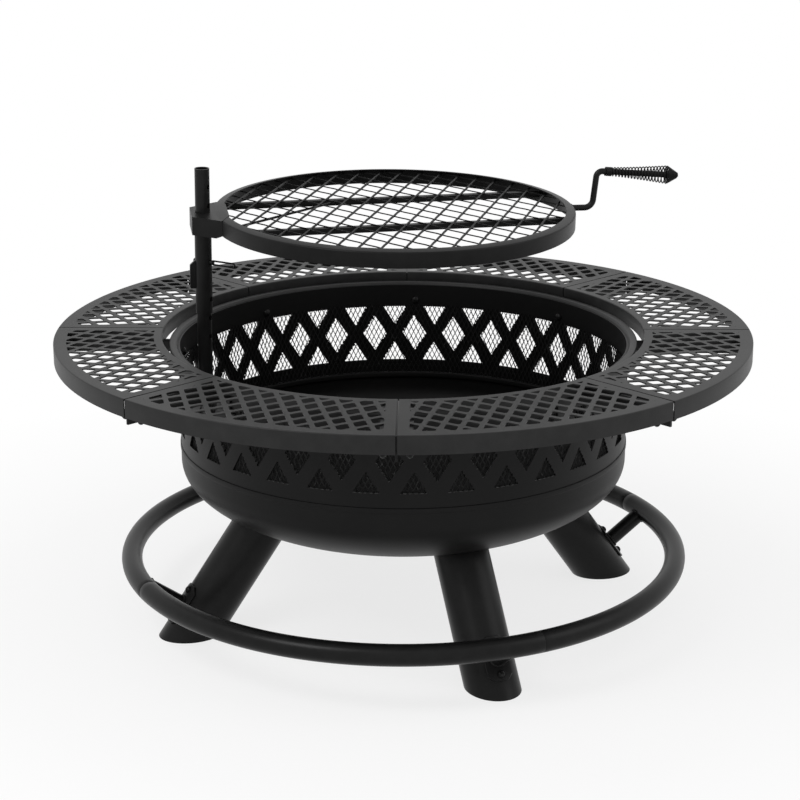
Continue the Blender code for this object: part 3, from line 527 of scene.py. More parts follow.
class Value:
    """A shader socket that arithmetic can be written on; each operation adds a Math node."""

    def __init__(self, finish, socket):
        self.finish = finish
        self.socket = socket

    def _math(self, operation, first, second):
        return self.finish.node("ShaderNodeMath", {"operation": operation}, first, second)

    def __add__(self, other):
        return self._math("ADD", self, other)

    __radd__ = __add__

    def __sub__(self, other):
        return self._math("SUBTRACT", self, other)

    def __rsub__(self, other):
        return self._math("SUBTRACT", other, self)

    def __mul__(self, other):
        return self._math("MULTIPLY", self, other)


class Finish:
    """One material: its nodes are made by node(), and shader holds its Principled BSDF."""

    def __init__(self, name):
        self.material = bpy.data.materials.new(name)
        self.material.use_nodes = True
        self.tree = self.material.node_tree
        self.shader = self.tree.nodes["Principled BSDF"]
        self.output = self.tree.nodes["Material Output"]

    def node(self, kind, settings, *inputs, out=0, **named):
        """A node with its settings, then its inputs in order, then inputs by name; gives one output."""
        made = self.tree.nodes.new(kind)
        for name, setting in settings.items():
            setattr(made, name, setting)
        spots = list(enumerate(inputs)) + [(name.replace("_", " "), value) for name, value in named.items()]
        for spot, value in spots:
            self.feed(made.inputs[spot], value)
        return Value(self, made.outputs[out])

    def feed(self, socket, value):
        """A link from a Value, or a plain number, colour or vector."""
        if isinstance(value, Value):
            self.tree.links.new(value.socket, socket)
        elif value is not None:
            socket.default_value = value

    def set(self, **named):
        """Sockets of the Principled BSDF by name."""
        for name, value in named.items():
            self.feed(self.shader.inputs[name.replace("_", " ")], value)

    def place(self):
        """Where a point is on the piece."""
        return self.node("ShaderNodeTexCoord", {}, out="Object")

    def noise(self, place, scale, detail=2.0, roughness=0.5):
        """Noise from 0 to 1."""
        return self.node("ShaderNodeTexNoise", {}, Vector=place, Scale=scale, Detail=detail, Roughness=roughness)

    def ramp(self, value, low, high, first=0.0, last=1.0):
        """A value from low to high, stretched to first to last."""
        return self.node("ShaderNodeMapRange", {"clamp": True}, value, low, high, first, last)

    def mix(self, share, first, second):
        """Two colours mixed."""
        return self.node("ShaderNodeMix", {"data_type": "RGBA"}, share, *[None] * 5, first, second, out=2)

    def bump(self, height, strength, distance):
        """Normal from a height."""
        return self.node("ShaderNodeBump", {}, Strength=strength, Distance=distance, Height=height)

    def coat(self, share, dark, light, rough, metal, sheen, normal):
        """Material of a coat whose colour goes from dark to light by a share."""
        self.set(Base_Color=self.mix(share, dark, light), Roughness=rough, Metallic=metal, Specular_IOR_Level=sheen,
                 Normal=normal)
        return self.material


def grey(level):
    """Neutral colour."""
    return (level, level, level, 1.0)


def powder_coat(name, dark, light, rough, peel, sheen):
    """Powder coat on steel: fine orange peel, a slow drift in gloss, and a faint film of dust in patches."""
    f = Finish(name)
    place = f.place()
    drift = f.noise(place, 5.0, 3.0)
    patches = f.noise(place, 38.0, 4.0, 0.6)
    fine = f.noise(place, 620.0, 2.0)
    grain = f.noise(place, 1700.0, 1.0)
    film = f.ramp(patches * 0.6 + drift * 0.4, 0.42, 0.68)
    return f.coat(film, grey(dark), grey(light), rough + (drift - 0.5) * 0.12 + (patches - 0.5) * 0.06, 0.0, sheen,
                  f.bump(fine * 0.7 + grain * 0.3, peel, 0.0004))


def heat_coat(name, dark, light, rough, sheen):
    """Matt heat-proof coat: dry grain, and a slight brown-grey bloom towards the bowl's floor."""
    f = Finish(name)
    place = f.place()
    height = f.node("ShaderNodeSeparateXYZ", {}, place, out=2)
    clouds = f.noise(place, 9.0, 4.0, 0.6)
    grain = f.noise(place, 1100.0, 2.0)
    bloom = f.ramp(clouds + (0.30 - height) * 0.8, 0.45, 0.85)
    return f.coat(bloom, grey(dark), (light, light * 0.97, light * 0.94, 1), rough + (clouds - 0.5) * 0.12, 0.0,
                  sheen, f.bump(grain, 0.25, 0.0004))


def wire_coat(name, dark, light, rough):
    """Dark coat on drawn wire: it wears thin in short runs, where steel shows through a little."""
    f = Finish(name)
    place = f.place()
    runs = f.noise(place, 90.0, 3.0, 0.6)
    fine = f.noise(place, 900.0, 2.0)
    worn = f.ramp(runs, 0.58, 0.72)
    return f.coat(worn, grey(dark), grey(light), rough - worn * 0.08, worn * 0.3 + 0.05, WIRE_SHEEN,
                  f.bump(fine, 0.2, 0.0003))


table_coat = powder_coat("table_coat", 0.0075, 0.014, 0.45, 0.28, 0.24)
tube_coat = powder_coat("tube_coat", 0.0042, 0.0080, 0.33, 0.20, 0.15)
grate_coat = powder_coat("grate_coat", 0.0036, 0.0070, 0.40, 0.24, 0.14)
bowl_coat = heat_coat("bowl_coat", 0.0032, 0.0062, 0.45, 0.14)
screen_coat = wire_coat("screen_coat", 0.010, 0.040, 0.50)
mesh_coat = wire_coat("mesh_coat", 0.005, 0.018, 0.50)
grip_coat = wire_coat("grip_coat", 0.004, 0.014, 0.38)
bolt_coat = wire_coat("bolt_coat", 0.006, 0.030, 0.24)


# Table panels, arms and their bolts

def rhombus_distance(x, y, half_long, half_wide):
    """Distance to a rhombus with its long way along x, below zero inside it."""
    x, y = np.abs(x), np.abs(y)
    share = np.clip(((half_long - 2 * x) * half_long - (half_wide - 2 * y) * half_wide)
                    / (half_long ** 2 + half_wide ** 2), -1, 1)
    away = np.hypot(x - half_long * (1 - share) / 2, y - half_wide * (1 + share) / 2)
    return away * np.sign(x * half_wide + y * half_long - half_long * half_wide)


def smooth_corner(a, b, radius):
    """Larger of two distances, with the corner where they meet rounded to a radius."""
    u, v = np.maximum(radius + a, 0), np.maximum(radius + b, 0)
    return np.minimum(-radius, np.maximum(a, b)) + np.hypot(u, v)


def panel_metal(x, y):
    """Distance to the nearest edge of a panel's openings; x runs out from the bowl along the panel's middle.

    Openings are rounded rhombuses on a staggered lattice. An opening ends at the panel's borders.
    """
    a = (x - HOLE_ROW) / HOLE_PITCH + y / HOLE_CROSS_PITCH
    b = (x - HOLE_ROW) / HOLE_PITCH - y / HOLE_CROSS_PITCH
    a, b = a - np.round(a), b - np.round(b)
    cell_long, cell_wide = HOLE_PITCH / 2, HOLE_CROSS_PITCH / 2
    depth = cell_long * cell_wide / math.hypot(cell_long, cell_wide)
    share = 1 - (HOLE_STRAND / 2 + HOLE_CORNER) / depth
    opening = rhombus_distance((a + b) * cell_long, (a - b) * cell_wide, share * cell_long,
                               share * cell_wide) - HOLE_CORNER
    half = math.pi / PANELS
    reach = np.hypot(x, y)
    beside = HOLES_BESIDE_SEAM - (x * math.sin(half) - np.abs(y) * math.cos(half))
    border = np.maximum(np.maximum(reach - HOLES_OUTSIDE, HOLES_INSIDE - reach), beside)
    return smooth_corner(opening, border, HOLE_END_CORNER)


def panel_part():
    """Panel as a strip bent down at both arcs: its profile runs up the inner flange, out and down the outer one."""
    bend = PANEL_BEND
    inner, outer = OPENING_RADIUS, TABLE_RADIUS
    quarter = np.linspace(0, math.pi / 2, 5)
    out = spread([inner + bend, HOLES_INSIDE, HOLES_OUTSIDE, outer - bend], PANEL_STEP)
    radius = np.concatenate([[inner, inner], inner + bend - bend * np.cos(quarter[:-1]), out,
                             outer - bend + bend * np.sin(quarter[1:]), [outer, outer]])
    drop = np.concatenate([[INNER_FLANGE, INNER_FLANGE / 2], bend - bend * np.sin(quarter[:-1]), np.zeros(len(out)),
                           bend - bend * np.cos(quarter[1:]), [OUTER_FLANGE / 2, OUTER_FLANGE]])
    lean = np.concatenate([[math.pi, math.pi], math.pi - quarter[:-1], np.full(len(out), math.pi / 2),
                           math.pi / 2 - quarter[1:], [0, 0]])
    seam = SEAM_GAP / (outer + inner)
    half = math.pi / PANELS - seam
    angle = spread([-half, 0, half], PANEL_STEP / HOLE_ROW)
    r, t = np.meshgrid(radius, angle, indexing="ij")
    x, y, faces = opened(r * np.cos(t), r * np.sin(t), panel_metal, PANEL_SNAP * PANEL_STEP)
    turn = np.arctan2(y, x)
    beside_arm = np.clip(((math.pi / PANELS - np.abs(angle)) * inner - ARM_CLEARANCE) / ARM_RAMP, 0, 1)
    hang = np.where(radius == inner, drop / INNER_FLANGE, 0)
    height = -drop[:, None] + (INNER_FLANGE - FLANGE_BY_ARM) * np.outer(hang, 1 - beside_arm)
    points = np.stack([x, y, height], -1).reshape(-1, 3)
    normal = np.stack([np.cos(lean)[:, None] * np.cos(turn), np.cos(lean)[:, None] * np.sin(turn),
                       np.broadcast_to(np.sin(lean)[:, None], x.shape)], -1).reshape(-1, 3)
    return thick(points, faces, -normal * PANEL_SHEET)


def dome_bolt(radius, height, washer=0.0):
    """Domed head on Z = 0: a short upright edge, then a quarter ellipse to the middle, and a washer below."""
    angle = np.linspace(0, math.pi / 2, 7)
    edge = height * 0.25
    profile = [[0, 0], [radius, 0]]
    if washer:
        profile = [[0, 0], [washer, 0], [washer, WASHER_SHEET], [radius, WASHER_SHEET]]
    dome = np.stack([radius * np.cos(angle), edge + (height - edge) * np.sin(angle)], -1)
    return turned(np.concatenate([profile, dome]), 20, closed=False)


panel = panel_part()
for index in range(PANELS):
    seam_azimuth = FIRST_SEAM + index * TURN / PANELS
    place = Matrix.Translation((0, 0, TABLE_TOP)) @ around(seam_azimuth + math.pi / PANELS)
    piece(f"perforated_panel_{index + 1}", moved(panel, place), table_coat, "pit", f"table_panel_{index + 1}")
    eased(f"seam_arm_{index + 1}", f"table_arm_{index + 1}", tube_coat, "pit")
    nuts = [moved(dome_bolt(NUT_RADIUS, NUT_HEIGHT, NUT_WASHER), around(seam_azimuth)
                  @ Matrix.Translation((NUT_REACH, side * NUT_SPREAD, TABLE_TOP - OUTER_FLANGE))
                  @ Matrix.Rotation(math.pi, 4, "X")) for side in (-1, 1)]
    piece(f"dome_nuts_{index + 1}", joined(*nuts), bolt_coat, "pit")

for index in range(PANELS):
    low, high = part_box(f"arm_bolt_{index + 1}")
    middle = (low + high) / 2
    azimuth = math.atan2(middle.y, middle.x)
    seat = BAND_RADIUS - BAND_SHEET - ARM_BOLT_GAP
    lay = around(azimuth) @ Matrix.Translation((seat, 0, middle.z)) @ Matrix.Rotation(-math.pi / 2, 4, "Y")
    piece(f"band_bolt_{index + 1}", moved(dome_bolt(ARM_BOLT_RADIUS, ARM_BOLT_HEIGHT), lay), bolt_coat, "pit",
          f"arm_bolt_{index + 1}")


# Bowl

def band_metal(x, y):
    """Distance to the nearest cut in the band; x is the arc from a crossing, y the height below the table top.

    Under each crossing of the bars stand two triangles, and half a repeat to its side a diamond.
    """
    repeat = TURN * BAND_RADIUS / CROSSINGS
    x = (x / repeat - np.round(x / repeat)) * repeat
    side = repeat / 2 - np.abs(x)
    half, height = TRIANGLE_WIDTH / 2, TRIANGLE_HEIGHT
    slant = math.hypot(half, height)

    def triangle(down):
        edge = (height * np.abs(x) + half * (down - height)) / slant
        return np.maximum(-down, edge)

    upper = triangle(-UPPER_TRIANGLES - y)
    lower = triangle(y + LOWER_TRIANGLES)
    diamond = rhombus_distance(y + CROSSING_DROP, side, DIAMOND_HEIGHT / 2, DIAMOND_WIDTH / 2)
    return np.minimum(np.minimum(upper, lower), diamond)


def band_part():
    """Rolled band: a flat grid that passes through every corner of the cuts, bent round the bowl's axis."""
    repeat = TURN * BAND_RADIUS / CROSSINGS
    marks = [0, repeat / 2 - DIAMOND_WIDTH / 2, TRIANGLE_WIDTH / 2, repeat / 2, repeat - TRIANGLE_WIDTH / 2,
             repeat / 2 + DIAMOND_WIDTH / 2, repeat]
    one = spread(sorted(marks), BAND_STEP)[:-1]
    arc = (one + repeat * np.arange(CROSSINGS)[:, None]).ravel()
    arc = np.append(arc, repeat * CROSSINGS)
    levels = sorted([-BAND_TOP, -UPPER_TRIANGLES, -UPPER_TRIANGLES - TRIANGLE_HEIGHT, -CROSSING_DROP,
                     -CROSSING_DROP - DIAMOND_HEIGHT / 2, -CROSSING_DROP + DIAMOND_HEIGHT / 2,
                     -LOWER_TRIANGLES + TRIANGLE_HEIGHT, -LOWER_TRIANGLES, -BAND_BOTTOM])
    x, y = np.meshgrid(arc, spread(levels, BAND_STEP), indexing="ij")
    x, y, faces = opened(x, y, band_metal, BAND_SNAP * BAND_STEP)
    return rolled(x, y, faces, BAND_RADIUS, FIRST_CROSSING, BAND_SHEET)


def screen_part():
    """Expanded steel: zigzag strands side by side, each stepping half a cell aside over half a cell's height."""
    cells = round(TURN * SCREEN_RADIUS / SCREEN_CELL)
    height = BAND_BOTTOM - SCREEN_TOP
    halves = round(2 * height / SCREEN_CELL_HEIGHT)
    level = np.linspace(0, height, halves + 1)
    sway = np.arange(halves + 1) % 2 / 2
    start = np.tile(np.arange(cells), 2)
    way = np.repeat([1, -1], cells)
    across = (start[:, None] + way[:, None] * sway) * TURN / cells
    half_width = SCREEN_STRAND / SCREEN_RADIUS * SCREEN_HALF_SHARE
    lean = SCREEN_LEAN * way[:, None, None]
    angle = across[:, :, None] + half_width * SQUARE[:, 0]
    radius = SCREEN_RADIUS - SCREEN_INSET + SCREEN_HALF_SHEET * SQUARE[:, 1] + lean * SQUARE[:, 0]
    return strands(upright(radius, angle, (level - BAND_BOTTOM)[:, None]))


def dish_curve(inset):
    """Quarter of a superellipse, from the foot of the dish's wall to its lowest point, moved in by an inset."""
    angle = np.linspace(0, math.pi / 2, DISH_STEPS)
    reach = np.clip(np.cos(angle), 0, 1) ** (2 / DISH_SQUARENESS)
    depth = np.sin(angle) ** (2 / DISH_SQUARENESS)
    reach[-1] = 0
    return np.stack([(DISH_RADIUS - inset) * reach, -DISH_WALL - (DISH_DEPTH - inset) * depth], -1)


def dish_part():
    """Pressed dish: outer curve, a rounded lip that the band stands on, and the inner curve."""
    top = -BAND_BOTTOM - GAP
    under = top - LIP_THICKNESS
    wall = DISH_RADIUS - LIP_PAST_WALL
    lip = rounded([(wall, under - 0.003), (wall, under), (DISH_RADIUS, under),
                   (DISH_RADIUS, top), (DISH_RADIUS - LIP_WIDTH, top), (DISH_RADIUS - LIP_WIDTH, under),
                   (DISH_RADIUS - DISH_SHEET, under - LIP_WIDTH / 2)],
                  [0, 0.0006, 0.0008, 0.0012, 0.0012, 0.002, 0.003], 3, closed=False)
    outer = dish_curve(0)
    outer[:, 0] -= LIP_PAST_WALL * np.clip(1 - (outer[:, 1] - outer[0, 1]) / -LIP_FADE, 0, 1)
    return turned(np.concatenate([outer[::-1], lip, dish_curve(DISH_SHEET)]), 192, closed=False)


def hoop_part():
    """Round-cornered bar bent into the rim's hoop, with a slanting inner side that closes on the band."""
    low = GAP - SHOULDER_DROP
    high = low + HOOP_HEIGHT
    edge = BAND_RADIUS + GAP
    section = rounded([(edge, low), (HOOP_INSIDE + HOOP_WIDTH, low), (HOOP_INSIDE + HOOP_WIDTH, high),
                       (HOOP_INSIDE, high), (edge, low + HOOP_LIP)],
                      [0.0004, 0.001, HOOP_CORNER, HOOP_CORNER, 0.0006], 5)
    return turned(section, 240)


level_of_table = Matrix.Translation((0, 0, TABLE_TOP))
piece("cut_band", moved(band_part(), level_of_table), bowl_coat, "pit", "bowl_band")
piece("expanded_screen", moved(screen_part(), level_of_table), screen_coat, "pit", "spark_screen")
piece("pressed_dish", moved(dish_part(), level_of_table), bowl_coat, "pit", "bowl_dish")
piece("rolled_hoop", moved(hoop_part(), level_of_table), table_coat, "pit", "rim_hoop")


# Legs, ring and their bolts

LEG = Matrix.Translation((FOOT_RADIUS, 0, 0)) @ Matrix.Rotation(-LEG_TILT, 4, "Y")
STUB_START = LEG @ Vector((0, 0, STUB_UP_LEG))
STUB_WAY = LEG.to_3x3() @ Vector((1, 0, 0))
RING_CENTRE = STUB_START + STUB_WAY * STUB_REACH


def leg_part():
    """Tube between the floor and the dish: on each line along it, the end is found by halving."""
    m = np.array(LEG)

    def line(radius):
        base = upright(radius, circle(LEG_SIDES), 0) @ m[:3, :3].T + m[:3, 3]
        way = m[:3, 2]
        foot = -base[:, 2] / way[2]
        near, far = foot.copy(), np.full(LEG_SIDES, LEG_LONGEST)
        for halving in range(HALVINGS):
            middle = (near + far) / 2
            p = base + middle[:, None] * way
            reach = np.clip(np.hypot(p[:, 0], p[:, 1]) / (DISH_RADIUS + GAP), 0, 1)
            depth = DISH_DEPTH * (1 - reach ** DISH_SQUARENESS) ** (1 / DISH_SQUARENESS)
            under = TABLE_TOP - DISH_WALL - GAP - depth
            inside = p[:, 2] < under
            near, far = np.where(inside, middle, near), np.where(inside, far, middle)
        return base, way, foot, near

    rows = []
    for radius, shares in ((LEG_RADIUS, (0, 0.004, 0.5, 1)), (LEG_RADIUS - LEG_WALL, (1, 0.5, 0.004, 0))):
        base, way, foot, top = line(radius)
        for share in shares:
            rows.append(base + (foot + (top - foot) * share)[:, None] * way)
    return surface(np.stack(rows), True, True)


def saddle_part():
    """Plate with cut corners bent round the tube; its outline is filled row by row."""
    half = SADDLE_WIDTH / 2
    low, high = STUB_UP_LEG - SADDLE_LENGTH / 2, STUB_UP_LEG + SADDLE_LENGTH / 2
    up = np.concatenate([[low], np.linspace(low + 0.0006, high - 0.0006, 24), [high]])
    inset = np.clip(np.maximum(SADDLE_CORNER - (up - low), SADDLE_CORNER - (high - up)), 0, None)
    width = half - inset
    across = np.linspace(-1, 1, 15)
    angle = width[:, None] * across / LEG_RADIUS
    rows = []
    inner, outer = LEG_RADIUS + GAP, LEG_RADIUS + GAP + SADDLE_SHEET
    for radius, cut in ((inner, 0.0), (outer - SADDLE_EDGE, 0.0), (outer, SADDLE_EDGE)):
        shrink = 1 - cut / half
        z = STUB_UP_LEG + (up - STUB_UP_LEG) * (1 - cut / SADDLE_LENGTH * 2)
        rows.append(upright(radius, angle * shrink, z[:, None]))
    walls = [surface(np.stack([below[edge], above[edge]])) for below, above in zip(rows, rows[1:])
             for edge in (0, -1, np.s_[:, 0], np.s_[:, -1])]
    return moved(joined(surface(rows[2]), surface(rows[0]), *walls), LEG)


def ring_part():
    """A quarter of the pipe ring: a circle carried along the arc, closed with a small rounded step at its ends."""
    quarter = TURN / LEGS
    joint = JOINT_GAP / RING_CENTRE.x
    start = JOINT_PAST_LEG - quarter + joint / 2
    end = JOINT_PAST_LEG - joint / 2
    small = JOINT_ROUND / RING_CENTRE.x
    along = np.linspace(start + small, end - small, PIPE_STEPS)
    azimuth = np.concatenate([[start, start, start + small * 0.3], along, [end - small * 0.3, end, end]])
    step = np.array([0.0, PIPE_RADIUS - JOINT_ROUND, PIPE_RADIUS - JOINT_ROUND / 4])
    size = np.concatenate([step, np.full(PIPE_STEPS, PIPE_RADIUS), step[::-1]])
    turn = circle(PIPE_SIDES)
    radius = RING_CENTRE.x + size[:, None] * np.cos(turn)
    height = RING_CENTRE.z + size[:, None] * np.sin(turn)
    return surface(upright(radius, azimuth[:, None], height), False, True)


def bead(centre, way, radius, size, lumps):
    """Weld bead: a ring of round section whose size swells and shrinks as the weld was laid."""
    way = Vector(way).normalized()
    turn = circle(96)
    side = way.orthogonal().normalized()
    up = way.cross(side)
    out = np.cos(turn)[:, None] * np.array(side) + np.sin(turn)[:, None] * np.array(up)
    round_way = circle(8)
    swell = size * (0.85 + 0.15 * np.cos(turn * lumps))[:, None, None]
    points = (np.array(centre) + out[:, None] * (radius + swell * np.cos(round_way)[:, None])
              + swell * np.sin(round_way)[:, None] * np.array(way))
    return surface(points, True, True)


leg = leg_part()
saddle = saddle_part()
pipe = ring_part()
stub_end = RING_CENTRE - STUB_WAY * (PIPE_RADIUS * 0.8)
stub_root = STUB_START + STUB_WAY * (LEG_RADIUS + SADDLE_SHEET * 0.5)
stub = rod(np.linspace(np.array(stub_root), np.array(stub_end), 6), STUB_RADIUS, 32, (0, 1, 0))
weld_at_leg = STUB_START + STUB_WAY * (LEG_RADIUS + SADDLE_SHEET + BEAD_SEAT)
weld_at_ring = RING_CENTRE - STUB_WAY * (PIPE_RADIUS - RING_BEAD_SINK)
stub_welds = [bead(spot, STUB_WAY, STUB_RADIUS, size, BEAD_LUMPS)
              for spot, size in ((weld_at_leg, STUB_BEAD), (weld_at_ring, RING_BEAD))]
saddle_bolt = dome_bolt(BOLT_RADIUS - BOLT_WASHER_EDGE, BOLT_HEIGHT, BOLT_RADIUS)
for index in range(LEGS):
    turn = around(FIRST_LEG + index * TURN / LEGS)
    piece(f"tube_leg_{index + 1}", moved(leg, turn), tube_coat, "pit", f"leg_{index + 1}")
    piece(f"pipe_ring_{index + 1}", moved(joined(pipe, saddle, stub, *stub_welds), turn), tube_coat, "pit",
          f"ring_segment_{index + 1}")
    for end, side in (("low", -1), ("high", 1)):
        seat = Matrix.Translation((LEG_RADIUS + SADDLE_SHEET + GAP, 0, STUB_UP_LEG + side * BOLT_SPREAD))
        lay = turn @ LEG @ seat @ Matrix.Rotation(math.pi / 2, 4, "Y")
        piece(f"saddle_bolt_{end}_{index + 1}", moved(saddle_bolt, lay), bolt_coat, "pit",
              f"leg_bolt_{end}_{index + 1}")


# Post, sleeve and pin

def drilled_tube(radius, wall, low, high, drops, step):
    """Tube unrolled as a flat grid, with round holes on both sides along the pin's way, then rolled up."""
    circumference = TURN * radius

    def metal(x, y):
        half_turn = circumference / 2
        x = (x / half_turn - np.round(x / half_turn)) * half_turn
        gaps = [np.hypot(x, y + drop) - (PIN_RADIUS + GAP) for drop in drops]
        return np.minimum.reduce(gaps)

    x, y = np.meshgrid(np.linspace(0, circumference, round(circumference / step) + 1),
                       spread([low, high], step), indexing="ij")
    x, y, faces = opened(x, y, metal, TUBE_SNAP * step)
    return rolled(x, y, faces, radius, PIN_AZIMUTH, wall)


post_bottom = POST_TOP - POST_LENGTH
post_holes = [PIN_DROP + step * PIN_PITCH for step in range(-HOLES_EACH_WAY, HOLES_EACH_WAY + 1)]
skin = drilled_tube(POST_RADIUS, POST_WALL, post_bottom, POST_TOP, post_holes, POST_STEP)
plug_top = POST_TOP - PLUG_DROP
plug = bar(POST_RADIUS - POST_WALL, plug_top - PLUG_SHEET, plug_top, 0, 0.001, 56)
piece("drilled_post", moved(joined(skin, plug), LEAN), tube_coat, "post", "post")

tube = drilled_tube(SLEEVE_RADIUS, SLEEVE_RADIUS - POST_RADIUS - 2 * GAP, -SLEEVE_BOTTOM, -SLEEVE_TOP,
                    [PIN_DROP, PIN_DROP + 2 * PIN_PITCH], SLEEVE_STEP)
piece("sliding_sleeve", moved(tube, LEAN), tube_coat, "grate", "grate_sleeve")
keeper_high = -KEEPER_DROP
keeper_low = keeper_high - KEEPER_HEIGHT
keeper_outer = -SLEEVE_RADIUS - KEEPER_REACH
keeper_root = -SLEEVE_RADIUS + KEEPER_SINK
outline = rounded([(keeper_outer, keeper_low), (keeper_root, keeper_low), (keeper_root, keeper_high),
                   (keeper_outer, keeper_high - KEEPER_REACH)],
                  [0.002, 0, 0, 0.003], 4)
middle = np.broadcast_to(outline.mean(0), outline.shape)
side_rows = [np.insert(flat, 1, side * KEEPER_THICKNESS / 2, axis=1)
             for side, flat in ((-1, middle), (-1, outline), (1, outline), (1, middle))]
piece("pin_keeper", moved(surface(np.stack(side_rows), False, True), LEAN), tube_coat, "grate")

pin_way = around(PIN_AZIMUTH) @ Matrix.Rotation(math.pi / 2, 4, "Y")
pin_seat = LEAN @ Matrix.Translation((0, 0, -PIN_DROP)) @ pin_way
far = SLEEVE_RADIUS + PIN_PAST_SLEEVE
shank = bar(PIN_RADIUS, -far, far + LOOP_WIRE, 0.001, 0.0008, 32)
half_loop = LOOP_WIDTH / 2
loop_path = rounded([(far, half_loop), (far + LOOP_LENGTH, half_loop), (far + LOOP_LENGTH, -half_loop),
                     (far, -half_loop)], [0, half_loop * 0.95, half_loop * 0.95, 0], 8, closed=False)
loop_points = np.insert(loop_path[:, ::-1], 1, 0, axis=1)
piece("wire_loop_pin", moved(joined(shank, rod(loop_points, LOOP_WIRE, 12, (0, 1, 0))), pin_seat),
      grip_coat, "lock_pin", "lock_pin")


# Grate

def rim_part():
    """Rim: an angle section with a rounded outer corner, rolled into a ring. Its flange rises evenly inward."""
    outer, inner = GRATE_RADIUS, GRATE_RADIUS - RIM_FLANGE
    wall = outer - RIM_SHEET
    section = rounded([(outer, 0), (inner, RIM_CROWN), (inner, RIM_CROWN - RIM_SHEET), (wall, -RIM_SHEET),
                       (wall, -RIM_HEIGHT), (outer, -RIM_HEIGHT)],
                      [RIM_BEND, 0.0006, 0.0006, 0.0008, 0.0006, 0.0006], 5)
    return turned(section, 240)


def bracket_part():
    """Folded cover from the post to the rim: y is a share of a half width that grows evenly along x.

    Its top laps the rim's flange: a point's height there follows the flange's rise. Its walls hang from the fold.
    """
    end = -BRACKET_END
    rim = GRATE_RADIUS + GAP
    share = np.linspace(-1, 1, 45)
    meets = GRATE_REACH - np.sqrt(rim ** 2 - (share * BRACKET_HALF_RIM) ** 2)
    along = np.linspace(0, 1, 25)[:, None]
    half = BRACKET_HALF_END + (BRACKET_HALF_RIM - BRACKET_HALF_END) * along
    on = np.linspace(0, 1, 9)[1:, None]
    x = np.concatenate([end + (meets - end) * along, meets + (BRACKET_LAP - meets) * on])
    y = np.concatenate([share * half, share * (BRACKET_HALF_RIM + (BRACKET_HALF_LAP - BRACKET_HALF_RIM) * on)])

    def lift(x, y):
        inside = GRATE_RADIUS - np.hypot(x - GRATE_REACH, y)
        return BRACKET_LIFT + RIM_CROWN * np.clip(inside / RIM_FLANGE, 0, 1)

    def sheet(x, y, z, faces, inward):
        points = np.stack(np.broadcast_arrays(x, y, z), -1).reshape(-1, 3)
        return points, faces, np.stack(np.broadcast_arrays(*inward), -1).reshape(-1, 3)

    level = lift(x[0, 0], y[0, 0])
    down = np.array([0, 0.35, 0.7, 1])
    fold = np.where(down == 0, -BRACKET_SHEET, 0)

    def wall(line_x, line_y, low, inward_x, inward_y):
        return sheet(line_x[:, None], line_y[:, None], level - low * down, halved(quads(len(line_x), len(down))),
                     (inward_x, inward_y, fold))

    count = len(along)
    side = np.zeros_like(x)
    side[:count, 0], side[:count, -1] = 1, -1
    back = np.zeros_like(x)
    back[0] = 1
    low = BRACKET_DEPTH - BRACKET_RISE * np.clip((along - BRACKET_RISE_START) / (1 - BRACKET_RISE_START), 0, 1)
    flat_x, flat_y, flat_faces = opened(x, y, lambda x, y: np.hypot(x, y) - POST_RADIUS - GAP, BRACKET_SNAP)
    parts = [sheet(flat_x, flat_y, lift(flat_x, flat_y), flat_faces,
                   (back * BRACKET_SHEET, side * BRACKET_SHEET, np.full(x.shape, -BRACKET_SHEET)))]
    corner = np.zeros((count, 1))
    corner[0] = BRACKET_SHEET
    for column, way in ((0, 1), (-1, -1)):
        parts.append(wall(x[:count, column], y[:count, column], low, corner, way * BRACKET_SHEET))
    ends = np.zeros((len(share), 1))
    ends[0], ends[-1] = BRACKET_SHEET, -BRACKET_SHEET
    parts.append(wall(x[0], y[0], BRACKET_DEPTH, BRACKET_SHEET, ends))
    points, faces = joined(*[(points, faces) for points, faces, inward in parts])
    return thick(points, faces[:, :3], np.concatenate([inward for points, faces, inward in parts]))


def mesh_part():
    """Expanded steel disc: two families of strands through one lattice, each cut where it meets the rim's circle."""
    steep, slant = np.array(STEEP_STEP), np.array(SLANT_STEP)
    limit = GRATE_RADIUS - RIM_SHEET - MESH_OFF_WALL
    parts = []
    families = ((steep, slant, 0.0, STEEP_SWAY, STEEP_SHIFT), (slant, steep, SLANT_DROP, SLANT_SWAY, 0.0))
    for way, step, drop, sway, shift_aside in families:
        length = np.linalg.norm(way)
        along = way / length
        normal = np.array([-along[1], along[0]])
        spacing = abs(step @ normal)
        shift = (step @ along) / (step @ normal)
        count = int(limit / spacing)
        offset = np.arange(-count, count + 1) * spacing + shift_aside
        offset = offset[np.abs(offset) < 0.99 * limit]
        half = np.sqrt(limit ** 2 - offset ** 2)
        t = np.linspace(-1, 1, 81)
        s = half[:, None] * t
        phase = (s - offset[:, None] * shift) / length
        wave = sway * (np.abs(phase % 1 - 0.5) * 4 - 1) * np.where(np.abs(t) == 1, 0, 1)
        centre = offset[:, None, None] * normal + s[:, :, None] * along + wave[:, :, None] * normal
        flat = centre[:, :, None] + MESH_STRAND / 2 * SQUARE[:, 0][:, None] * normal
        height = -MESH_DROP - drop - MESH_HEIGHT / 2 * (1 - SQUARE[:, 1]) - MESH_ROLL * (1 + SQUARE[:, 0])
        parts.append(strands(np.stack(np.broadcast_arrays(flat[..., 0], flat[..., 1], height), -1)))
    return joined(*parts)


